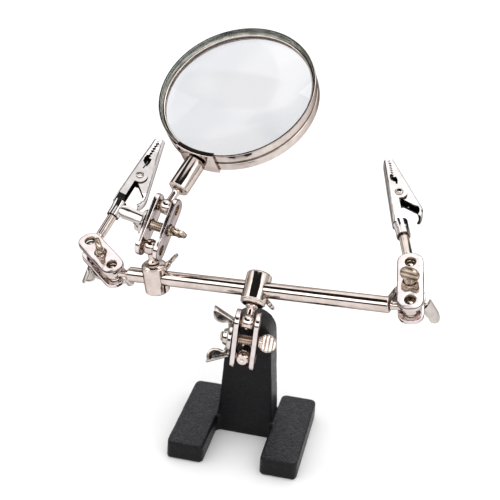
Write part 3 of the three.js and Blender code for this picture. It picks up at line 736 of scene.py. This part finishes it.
def wing_ear():
    """The broad strip a finger pushes, lying along X from the origin, its outside below."""
    points, faces = [], []
    rows, facets = 40, 36
    angles = [2 * math.pi * k / facets for k in range(facets)]
    section = [(math.copysign(abs(math.cos(a)) ** 0.4, math.cos(a)),
                math.copysign(abs(math.sin(a)) ** 0.4, math.sin(a))) for a in angles]
    straight, flare = EAR_LENGTH - EAR_HALF_WIDTH, 0.35
    for i in range(rows + 1):
        if i <= 20:
            x, half = straight * i / 20, EAR_HALF_WIDTH + flare * i / 20
        else:
            turn = math.pi / 2 * (i - 20) / (rows - 20)
            x = straight + (EAR_HALF_WIDTH + 0.4) * math.sin(turn)
            half = max(0.12, (EAR_HALF_WIDTH + flare) * math.cos(turn))
        thin = 0.5 * EAR_THICK * (1 - 0.2 * i / rows)
        for across, up in section:
            bend = 0.5 * (across * half / EAR_HALF_WIDTH) ** 2
            points.append((x, across * half, -0.5 * EAR_THICK + thin * up + bend))
    for i in range(rows):
        a, b = i * facets, (i + 1) * facets
        faces += [(a + k, b + k, b + (k + 1) % facets, a + (k + 1) % facets) for k in range(facets)]
    faces.append(tuple(range(facets)))
    faces.append(tuple(rows * facets + k for k in reversed(range(facets))))
    return Shape(points, faces)


def wing_leaf():
    """A wing: a dished web with its ear along the outer edge."""
    loop = eased([(-x, out) for x, out in WING_OUTLINE], 0.7, 5, closed=True)
    rim = [(0.0, 0.3), (0.1, 0.5), (0.28, 0.62), (0.5, 0.65), (0.72, 0.55), (0.9, 0.34), (0.98, 0.25)]
    steps = [(inset, -height) for inset, height in reversed(rim)] + rim
    turn = Matrix(((1, 0, 0, 0), (0, 0, -1, 0), (0, 1, 0, 0), (0, 0, 0, 1)))
    ear = wing_ear().put(moved(-EAR_START_ALONG, 0, EAR_START_OUT) @ turned("Y", 180 + EAR_SLOPE))
    return slab(loop, [], steps).put(turn).add(ear)


def wing_nut():
    face = PLATE_OUTER + GAP
    base, back = face + NUT_BASE_THICK, face + NUT_HUB_LENGTH
    bore = CLAMP_SCREW_RADIUS + GAP
    hub = lathe(eased([
        (bore, -back), (NUT_TOP_RADIUS - 0.2, -back), (NUT_TOP_RADIUS, -back + 0.4),
        (NUT_HUB_RADIUS, -base - 0.1), (NUT_BASE_RADIUS - 0.3, -base), (NUT_BASE_RADIUS, -base + 0.3),
        (NUT_BASE_RADIUS, -face), (bore, -face),
    ], 0.3, closed=True), 64, closed=True).put(TO_X)
    other = wing_leaf().put(turned("X", 180))
    return hub.add(wing_leaf(), other)


def make_clamp(name, upper_joint):
    lower = joint_point(f"{name}_clamp_swing")
    screw_axis = joint_axis(f"{name}_clamp_swing")
    place = placed(lower, screw_axis, joint_point(upper_joint) - lower)
    for side, which in ((1, "front"), (-1, "rear")):
        make(f"{name}_clamp_{which}_plate", clamp_plate(side), place, f"{name}_clamp", "plate_nickel",
             [PLATE, PAINTED_DARK_EDGE, PAINTED_SHADE])
    line = place @ moved(0, 0, SCREW_LINE)
    ridges, leaf = (5, PLATE) if name == "centre" else (3, SCREW)
    make(f"{name}_clamp_screw", clamp_screw(ridges), line @ turned("X", 90 - PADDLE_TURN[name]),
         f"{name}_clamp_screw", "bright_nickel", [SCREW, leaf, PAINTED_SHADE])
    make(f"{name}_clamp_wing_nut", wing_nut(), line @ turned("X", -WING_TURN[name]),
         f"{name}_clamp_nut", "bright_nickel", NUT)


# ---- Barrels and crossbar ----


def barrel_shape():
    r, h = BARREL_RADIUS, BARREL_HALF
    return lathe(eased([
        (0, -h), (r - 0.9, -h), (r, -h + 0.7), (r, h - 1.5), (r - 0.3, h - 1.3), (r - 0.3, h - 1.0),
        (r - 0.05, h - 0.8), (r - 0.9, h), (0, h),
    ], 0.3), 112)


def barrel_bores():
    r, h = BARREL_RADIUS, BARREL_HALF
    rod = ROD_RADIUS + 0.12
    cross = lathe([(0, -r - 1), (rod, -r - 1), (rod, r + 1), (0, r + 1)], 64).put(TO_X)
    stud = lathe([(0, 0), (SHANK_RADIUS + GAP, 0), (SHANK_RADIUS + GAP, h + 1), (0, h + 1)], 32)
    screw = lathe([(0, 0), (SIDE_SCREW_RADIUS + 0.15, 0), (SIDE_SCREW_RADIUS + 0.15, r + 1), (0, r + 1)], 32)
    return [cross, stud, screw.put(TO_Y)]


def side_screw():
    """Lies along Y, its tip against the crossbar and its round paddle at the far end."""
    tip, head = ROD_RADIUS + GAP, BARREL_RADIUS + GAP
    shaft = lathe(eased([
        (0, tip), (SIDE_SCREW_RADIUS - 0.3, tip), (SIDE_SCREW_RADIUS, tip + 0.3), (SIDE_SCREW_RADIUS, head),
        (2.1, head), (2.1, head + 0.8), (1.5, head + 1.4), (1.3, SIDE_SCREW_NECK), (0, SIDE_SCREW_NECK + 0.5),
    ], 0.2), 40).put(TO_Y)
    leaf = ridged_paddle(0, SIDE_PADDLE_RADIUS, SIDE_PADDLE_THICK, 6)
    leaf.put(Matrix(((0, 0, 1, 0), (1, 0, 0, SIDE_PADDLE_REACH), (0, 1, 0, 0), (0, 0, 0, 1))))
    return shaft.add(leaf)


def make_barrel(name, centre, bar_axis, stud_axis):
    place = placed(centre, bar_axis, stud_axis)
    make(f"{name}_barrel", barrel_shape(), place, f"{name}_barrel", "bright_nickel", BRIGHT,
         cutters=barrel_bores())
    shape = side_screw().put(turned("Y", 90 - PADDLE_TURN[f"{name} barrel"]))
    make(f"{name}_barrel_thumbscrew", shape, place, f"{name}_thumbscrew", "bright_nickel",
         [BRIGHT, PLATE, PAINTED_SHADE])


def make_barrels():
    bar_axis = joint_axis("crossbar_slide")
    centre = joint_point("centre_barrel_turn")
    make_barrel("centre", centre, -bar_axis, joint_point("centre_barrel_stud_swing") - centre)
    slider = joint_point("slider_thumbscrew_turn")
    make_barrel("slider", slider, bar_axis, joint_point("slider_stud_turn") - slider)


def make_crossbar():
    r, bore = ROD_RADIUS, SHANK_RADIUS + GAP
    shape = lathe(eased([
        (0, -ROD_LEFT + ROD_BORE_DEPTH), (bore, -ROD_LEFT + ROD_BORE_DEPTH), (bore, -ROD_LEFT),
        (r - 0.45, -ROD_LEFT), (r, -ROD_LEFT + 0.45), (r, ROD_RIGHT - 0.45), (r - 0.45, ROD_RIGHT),
        (bore, ROD_RIGHT), (bore, ROD_RIGHT - ROD_BORE_DEPTH), (0, ROD_RIGHT - ROD_BORE_DEPTH),
    ], 0.2), 96)
    place = along(joint_point("centre_barrel_turn"), joint_axis("crossbar_slide"))
    make("crossbar", shape, place, "crossbar", "bright_nickel", BRIGHT)


# ---- Spring clips ----


def channel(stations, bend):
    """A strip folded into a trough. A station is (x, y, inward x, inward y, half width, side height)."""
    points, faces, rows = [], [], []
    for x, y, nx, ny, half, side in stations:
        r = min(bend, max(side, 0.05) * 0.9, half * 0.9)
        section = [(half, side + (r - side) * k / 6) for k in range(6)]
        section += [(half - r + r * math.cos(a), r - r * math.sin(a)) for a in np.linspace(0, math.pi / 2, 6)]
        section += [(-z, depth) for z, depth in reversed(section)]
        rows.append(len(points))
        points += [(x + nx * depth, y + ny * depth, z) for z, depth in section]
        size = len(section)
    for low, high in zip(rows, rows[1:]):
        faces += [(low + k, low + k + 1, high + k + 1, high + k) for k in range(size - 1)]
    return Shape(points, faces)


def toothed(x, base, deep):
    """A saw-tooth edge over the length of the teeth."""
    if not TEETH_START < x < TEETH_END:
        return base
    phase = ((x - TEETH_START) / TOOTH_PITCH) % 1
    return base + deep * (abs(phase - 0.5) * 2 - 0.5)


def shade_sheet(back, edge):
    """A dark sheet along the middle of a jaw, from its back to the line of the teeth, where there is only
    shade inside the trough: painted shade.
    """
    spots = np.linspace(SHADE_SHEET_START, SHADE_SHEET_END, 14)
    count = len(spots)
    points = [(x, back(x), 0) for x in spots] + [(x, edge, 0) for x in spots]
    faces = [(k, k + 1, count + k + 1, count + k) for k in range(count - 1)]
    return Shape(points, faces, 1)


def fixed_jaw(pivot_x, pivot_y):
    def back(x):
        share = (x - CLIP_TAIL) / (CLIP_TIP - 1 - CLIP_TAIL)
        straight = JAW_BACK_TAIL + SHEET / 2 + (JAW_BACK_TIP - JAW_BACK_TAIL) * share
        return straight + max(0, x - CLIP_TIP + 1.2) * 0.5

    def top(x):
        if x < 26:
            return 1.0 + 0.4 * (26 - x) / 3
        level = 0.6 if x < JAW_FLOOR_END else -0.25
        if abs(x - WINDOW_MIDDLE) < WINDOW_HALF:
            level = -1.25 + 0.35 * abs(x - WINDOW_MIDDLE) / WINDOW_HALF
        if x > TEETH_END:
            level = 0.1
        reach = 3.35 ** 2 - (x - pivot_x) ** 2
        if reach > 0 and x < COIL_REACH:
            level = max(level, pivot_y + math.sqrt(reach))
        return toothed(x, level, 0.9)

    def half(x):
        full = FIXED_HALF_WIDTH - SHEET / 2
        if x < 27:
            return full - 0.75 * (27 - x) / 4
        return full - 0.5 * max(0, x - JAW_FLOOR_END) / 14

    nose = CLIP_TIP - 0.5
    spots = list(np.arange(23.2, 49, 0.3)) + list(np.arange(49, nose, 0.1)) + [nose]
    jaw = channel([(x, back(x), 0, 1, half(x), top(x) - back(x)) for x in spots], 0.6)
    return jaw.add(shade_sheet(back, -0.05))


def crimp():
    """The tail rolled round the stem, with a dent pressed into each side."""
    points, faces = [], []
    spots = np.linspace(CLIP_TAIL, 24.2, 37)
    turns = 56
    for x in spots:
        sink = 0.3 * max(0, x - 20) / 4
        for k in range(turns + 1):
            degrees = 98 + 344 * k / turns
            angle = math.radians(degrees)
            dent = 0.0
            for centre in (19.2, 21.4):
                for around in (100, 20):
                    turn = (degrees - around + 180) % 360 - 180
                    dent = max(dent, 1 - math.hypot((x - centre) / 0.75, turn / 17))
            r = CRIMP_RADIUS - 0.4 * dent + 0.3 * max(0, x - 21) / 3.2
            points.append((x, r * math.sin(angle) * 1.02 - sink, r * math.cos(angle) * 1.05))
    for i in range(len(spots) - 1):
        a, b = i * (turns + 1), (i + 1) * (turns + 1)
        faces += [(a + k, a + k + 1, b + k + 1, b + k) for k in range(turns)]
    return Shape(points, faces)


def moving_jaw(pivot_x, pivot_y):
    """Stations follow the back from the tip to the curled thumb lever."""
    nose = CLIP_TIP + 0.4
    front = JAW_FRONT_TIP - SHEET / 2
    start, bend, end = np.array((LEVER_START, 8.21)), np.array((27.6, 9.7)), np.array((25.0, 7.4))
    back = [(nose + (start[0] - nose) * t, front + (start[1] - front) * t) for t in np.linspace(0, 1, 200)]
    for t in np.linspace(0, 1, 24)[1:]:
        back.append(tuple((1 - t) ** 2 * start + 2 * t * (1 - t) * bend + t * t * end))
    path = np.array(back)
    ahead = np.gradient(path, axis=0)
    ahead /= np.linalg.norm(ahead, axis=1)[:, None]
    stations = []
    for (x, y), (ax, ay) in zip(path, ahead):
        edge = 0.5
        if abs(x - WINDOW_MIDDLE) < WINDOW_HALF:
            edge = 1.9 - 0.35 * abs(x - WINDOW_MIDDLE) / WINDOW_HALF
        if x > TEETH_END:
            edge = 0.4
        reach = 2.3 ** 2 - (x - pivot_x) ** 2
        if reach > 0 and x < COIL_REACH:
            edge = min(edge, pivot_y - math.sqrt(reach))
        if x < 37.4:
            edge = 1.0 + (37.4 - x) * 0.95
        edge = toothed(x, edge, -0.9)
        side = max(1.1 if x < LEVER_START - 0.2 else 0.5, (y - edge) / max(0.6, abs(ax)))
        half = MOVING_HALF_WIDTH - SHEET / 2 - 0.35 * max(0, x - 46) / 12
        if x < LEVER_START - 0.2:
            half = MOVING_HALF_WIDTH - SHEET / 2 + 0.5 * min(1, (LEVER_START - 0.2 - x) / 4)
        stations.append((x, y, -ay, ax, half, side))
    slope = (start[1] - front) / (nose - start[0])
    return channel(stations, 0.7).add(shade_sheet(lambda x: front + slope * (nose - x), 0.15))


def rivet(pivot_x, pivot_y):
    seat = FIXED_HALF_WIDTH + 0.05
    top = FIXED_HALF_WIDTH + GAP + 0.5
    half = eased([
        (0.0, top - 1.0), (0.85, top - 1.0), (0.9, top - 0.1), (1.1, top), (1.5, top - 0.15),
        (1.75, seat + 0.1), (1.6, seat), (0.8, seat), (0.8, 0.1),
    ], 0.12, 3)
    profile = [(r, -z) for r, z in half] + [(r, z) for r, z in reversed(half)]
    shape = lathe(profile, 40)
    # Faces inside the hollow in the rivet's head take the second look: painted shade.
    for number, face in enumerate(shape.faces):
        reach = [math.hypot(*shape.points[i][:2]) for i in face]
        high = [abs(shape.points[i][2]) for i in face]
        if max(reach) < 0.92 and min(high) > seat - 0.6 and max(high) < top - 0.05:
            shape.marks[number] = 1
    return shape.put(moved(pivot_x, pivot_y, 0))


def wire(points, radius, name):
    curve = bpy.data.curves.new(name, "CURVE")
    curve.dimensions = "3D"
    curve.bevel_depth, curve.bevel_resolution, curve.use_fill_caps = radius, 4, True
    line = curve.splines.new("NURBS")
    line.points.add(len(points) - 1)
    for point, spot in zip(line.points, points):
        point.co = (*spot, 1)
    line.use_endpoint_u, line.order_u = True, 4
    return curve


def make_spring(side, place, pivot_x, pivot_y):
    """A torsion spring coiled round the rivet, with a leg towards each jaw's tail."""
    start, turns_made, rise = math.radians(265), 2.5, 1.7
    spots = [(33.2, -1.1, -rise / 2), (35.5, -1.0, -rise / 2)]
    for k in range(61):
        angle = start + 2 * math.pi * turns_made * k / 60
        x, y = pivot_x + COIL_RADIUS * math.cos(angle), pivot_y + COIL_RADIUS * math.sin(angle)
        spots.append((x, y, rise * (k / 60 - 0.5)))
    spots += [(35.6, 4.3, rise / 2), (33.2, 4.4, rise / 2)]
    curve = wire([place @ Vector(p) for p in spots], WIRE_RADIUS * MM, f"{side}_clip_spring_fine")
    curve.materials.append(SPRING)
    piece = new_object(f"{side}_clip_spring_fine", curve)
    hand_over(piece, f"{side}_clip", "spring_steel", f"{side}_clip_spring")


def make_clip(side):
    ball, axis = joint_point(f"{side}_clip_turn"), joint_axis(f"{side}_clip_turn")
    hinge_axis = joint_axis(f"{side}_clip_jaw_open")
    place = placed(ball, axis, hinge_axis)
    pivot = place.inverted() @ joint_point(f"{side}_clip_jaw_open")
    fixed = fixed_jaw(pivot.x, pivot.y).add(crimp())
    looks = [CLIP, CLIP_TROUGH_SHADE, PAINTED_DARK_EDGE]
    make(f"{side}_clip_fixed_jaw", fixed, place, f"{side}_clip", "clip_steel", looks, sheet=SHEET)
    moving = moving_jaw(pivot.x, pivot.y)
    make(f"{side}_clip_moving_jaw", moving, place, f"{side}_clip_jaw", "clip_steel", looks, sheet=SHEET)
    make(f"{side}_clip_rivet", rivet(pivot.x, pivot.y), place, f"{side}_clip", "bright_nickel",
         [BRIGHT, RIVET_HOLLOW_SHADE])
    make_spring(side, place, pivot.x, pivot.y)


# ---- Magnifier ----


def socket():
    bore, r = SOCKET_STEM_RADIUS + 0.15, SOCKET_RADIUS
    return lathe(eased([
        (0, SOCKET_START + SOCKET_BORE_DEPTH), (bore, SOCKET_START + SOCKET_BORE_DEPTH), (bore, SOCKET_START),
        (r - 0.7, SOCKET_START), (r, SOCKET_START + 0.6), (r, SOCKET_END), (0, SOCKET_END),
    ], 0.25), 96)


def rim_band():
    half, outer, inner = RIM_HEIGHT / 2, RIM_RADIUS, RIM_RADIUS - RIM_WALL
    seat = LENS_EDGE / 2 + GAP
    outside = [
        (inner, half), (outer - 0.15, half), (outer, half - 0.15), (outer, 0.95), (outer - 0.15, 0.7),
        (outer - 0.45, 0.45), (outer - 0.45, -0.45), (outer - 0.15, -0.7), (outer, -0.95),
        (outer, -half + 0.15), (outer - 0.15, -half), (inner, -half),
    ]
    band = lathe(eased(outside + [(inner - 0.02, 0)], 0.15, 3, closed=True), 200, closed=True)
    # Inner faces take the second look. The groove round the outside and the top outer corner take the dark
    # edge look: painted shade in the groove and a painted dark reflection on the corner.
    for number, face in enumerate(band.faces):
        reach = [math.hypot(*band.points[i][:2]) for i in face]
        if max(reach) < inner + 0.2:
            band.marks[number] = 1
        elif inner + 0.2 < max(reach) < outer - 0.2:
            band.marks[number] = 2
        elif min(abs(band.points[i][2]) for i in face) > half - 0.3 and max(reach) > outer - 0.05:
            band.marks[number] = 2
    rings = Shape()
    for sign in (1, -1):
        ring = eased([
            (inner + 0.02, sign * seat), (inner - 1.1, sign * seat), (inner - 1.35, sign * (seat + 0.35)),
            (inner - 1.1, sign * (seat + 0.8)), (inner + 0.02, sign * (seat + 0.9)),
        ], 0.25, 4, closed=True)
        rings.add(lathe(ring, 200, closed=True))
    return band.add(rings).put(TO_LENS)


def lens():
    radius = RIM_RADIUS - RIM_WALL - GAP
    heights = [(radius * k / 40, LENS_EDGE / 2 + LENS_BULGE * (1 - (k / 40) ** 2)) for k in range(41)]
    profile = [(r, -z) for r, z in heights] + [(r, z) for r, z in reversed(heights)]
    return lathe(profile, 160).put(TO_LENS)


def bracket():
    """A saddle bent round the rim's outside, with a lip over each edge of the rim."""
    inside = RIM_RADIUS + 0.12
    outside = inside + BRACKET_SHEET
    half = RIM_HEIGHT / 2 + 0.12
    lip = RIM_RADIUS - 1.2
    profile = eased([
        (outside, -half - 0.8), (outside, half + 0.8), (lip, half + 0.8), (lip, half), (inside, half),
        (inside, -half), (lip, -half), (lip, -half - 0.8),
    ], 0.35, 4, closed=True)
    shape = lathe(profile, 28, closed=True, sweep=(90 - BRACKET_HALF_ANGLE, 90 + BRACKET_HALF_ANGLE))
    # Faces of the lips that lie over the rim take the dark edge look: painted shade in the gap between lip and
    # rim.
    for number, face in enumerate(shape.faces):
        corners = [shape.points[i] for i in face]
        if all(abs(z) > half and math.hypot(x, y) < RIM_RADIUS - 0.1 for x, y, z in corners):
            shape.marks[number] = 1
    return shape.put(TO_LENS)


def make_magnifier():
    ball, axis = joint_point("magnifier_head_turn"), joint_axis("magnifier_head_turn")
    side = heading(*LENS_FACING).cross(axis).normalized()
    turn = Matrix((side, axis.cross(side), axis)).transposed().to_4x4()
    place = Matrix.Translation(ball) @ turn @ Matrix.Scale(MM, 4)
    make("magnifier_socket", socket(), place, "magnifier_head", "bright_nickel", BRIGHT)
    make("magnifier_bracket", bracket(), place, "magnifier_head", "rim_chrome", [RIM, PAINTED_DARK_EDGE])
    make("magnifier_rim", rim_band(), place, "magnifier_head", "rim_chrome", [RIM, RIM_INSIDE, PAINTED_DARK_EDGE])
    make("magnifier_lens", lens(), place, "magnifier_head", "glass", GLASS)


# ---- Studio ----


def make_floor():
    material, nodes, links, shader, place = new_material("pale_floor")
    colour = noise_ramp(nodes, links, place, 3, [(0.3, (0.92, 0.92, 0.92)), (0.7, (0.94, 0.94, 0.94))])
    links.new(colour, shader.inputs["Base Color"])
    shader.inputs["Roughness"].default_value = 0.9
    size = 6
    corners = [(-size, -size, 0), (size, -size, 0), (size, size, 0), (-size, size, 0)]
    mesh = bpy.data.meshes.new("floor")
    mesh.from_pydata(corners, [], [(0, 1, 2, 3)])
    mesh.materials.append(material)
    floor = new_object("floor", mesh)
    floor.location.z = -0.0002


def add_light(name, towards, distance, width, height, power):
    target = Vector((0, 0, 0.07))
    lamp = bpy.data.lights.new(name, "AREA")
    lamp.shape, lamp.size, lamp.size_y = "RECTANGLE", width, height
    lamp.energy = power
    light = new_object(name, lamp)
    light.location = target + towards * distance
    light.rotation_mode = "QUATERNION"
    light.rotation_quaternion = (-towards).to_track_quat("-Z", "Y")


class Sky:
    """Builds the studio's walls as brightness over direction, from nodes on the world."""

    def __init__(self, world):
        world.use_nodes = True
        self.nodes, self.links = world.node_tree.nodes, world.node_tree.links
        self.background = self.nodes["Background"]
        split = self.nodes.new("ShaderNodeSeparateXYZ")
        self.links.new(self.nodes.new("ShaderNodeTexCoord").outputs["Generated"], split.inputs[0])
        self.x, self.y, self.z = split.outputs

    def sum(self, kind, a, b):
        node = self.nodes.new("ShaderNodeMath")
        node.operation = kind
        for socket, value in zip(node.inputs, (a, b)):
            if isinstance(value, (int, float)):
                socket.default_value = value
            else:
                self.links.new(value, socket)
        return node.outputs[0]

    def step(self, value, low, high):
        """0 below low, 1 above high."""
        node = self.nodes.new("ShaderNodeMapRange")
        node.interpolation_type = "SMOOTHSTEP"
        self.links.new(value, node.inputs["Value"])
        node.inputs["From Min"].default_value = low
        node.inputs["From Max"].default_value = high
        return node.outputs["Result"]

    def between(self, value, low, high, soft):
        rise = self.step(value, low - soft, low + soft)
        fall = self.sum("SUBTRACT", 1, self.step(value, high - soft, high + soft))
        return self.sum("MULTIPLY", rise, fall)

    def heights(self, low, high, soft=1.5):
        """Directions between two elevations in degrees."""
        sine = [math.sin(math.radians(angle)) for angle in (low, high, low - soft, low + soft)]
        return self.between(self.z, sine[0], sine[1], (sine[3] - sine[2]) / 2)

    def sector(self, middle, half, soft=3):
        """Directions within some degrees of a heading, whatever their elevation."""
        turn = math.radians(middle)
        towards = self.sum("ADD", self.sum("MULTIPLY", self.x, math.cos(turn)),
                           self.sum("MULTIPLY", self.y, math.sin(turn)))
        across = self.sum("SQRT", self.sum("SUBTRACT", 1.0001, self.sum("MULTIPLY", self.z, self.z)), 0)
        share = self.sum("DIVIDE", towards, across)
        near, far = math.cos(math.radians(half - soft)), math.cos(math.radians(half + soft))
        return self.step(share, far, near)

    def mix(self, under, over, share):
        kept = self.sum("MULTIPLY", under, self.sum("SUBTRACT", 1, share))
        return self.sum("ADD", kept, self.sum("MULTIPLY", over, share))


def make_walls():
    """Lit walls with dark cards between them: what bright metal mirrors. Matt surfaces see an even light."""
    world = bpy.data.worlds.new("studio")
    bpy.context.scene.world = world
    sky = Sky(world)
    wall = sky.mix(0.45, 0.78, sky.heights(6, 26, 4))
    wall = sky.mix(wall, 1.5, sky.heights(28, 95, 4))
    softbox = sky.sum("MULTIPLY", sky.heights(18, 48), sky.sector(-90, 78))
    wall = sky.mix(wall, 2.6, softbox)
    cards = (
        ((47, 74, 1.5), (-117, 88)),
        ((1, 19, 1.5), (-122, 46)),
        ((2, 55, 2), (50, 9)),
        ((2, 50, 2), (143, 7)),
    )
    for (low, high, soft), (middle, half) in cards:
        card = sky.sum("MULTIPLY", sky.heights(low, high, soft), sky.sector(middle, half))
        wall = sky.mix(wall, CARD_LIGHT, card)
    path = sky.nodes.new("ShaderNodeLightPath")
    mirrored = sky.sum("MAXIMUM", path.outputs["Is Glossy Ray"], path.outputs["Is Transmission Ray"])
    light = sky.mix(EVEN_LIGHT, wall, mirrored)
    light = sky.mix(light, 1.0, path.outputs["Is Camera Ray"])
    sky.links.new(light, sky.background.inputs["Strength"])
    sky.background.inputs["Color"].default_value = (1, 1, 1, 1)


def make_studio():
    bpy.context.scene.view_settings.view_transform = "Standard"
    make_walls()
    make_floor()
    add_light("overhead", heading(60, 80), 1.3, 0.5, 0.5, 1.5)


def make_camera():
    back = Vector((0.179, -0.874, 0.452))
    up = Vector((-0.143, 0.431, 0.891))
    back.normalize()
    up = (up - back * up.dot(back)).normalized()
    right = up.cross(back)
    data = bpy.data.cameras.new("camera")
    data.lens, data.sensor_width = 74.57, 36
    data.clip_start, data.clip_end = 0.01, 20
    camera = new_object("camera", data)
    turn = Matrix((right, up, back)).transposed().to_4x4()
    camera.matrix_world = Matrix.Translation((0.0676, -0.3427, 0.2584)) @ turn
    bpy.context.scene.camera = camera


make_camera()
make_studio()
make_base()
make_studs()
for clamp_name, clamp_upper in (
    ("centre", "centre_barrel_stud_swing"),
    ("magnifier", "magnifier_stud_swing"),
    ("left", "left_clip_stem_swing"),
    ("right", "right_clip_stem_swing"),
):
    make_clamp(clamp_name, clamp_upper)
make_barrels()
make_crossbar()
make_clip("left")
make_clip("right")
make_magnifier()
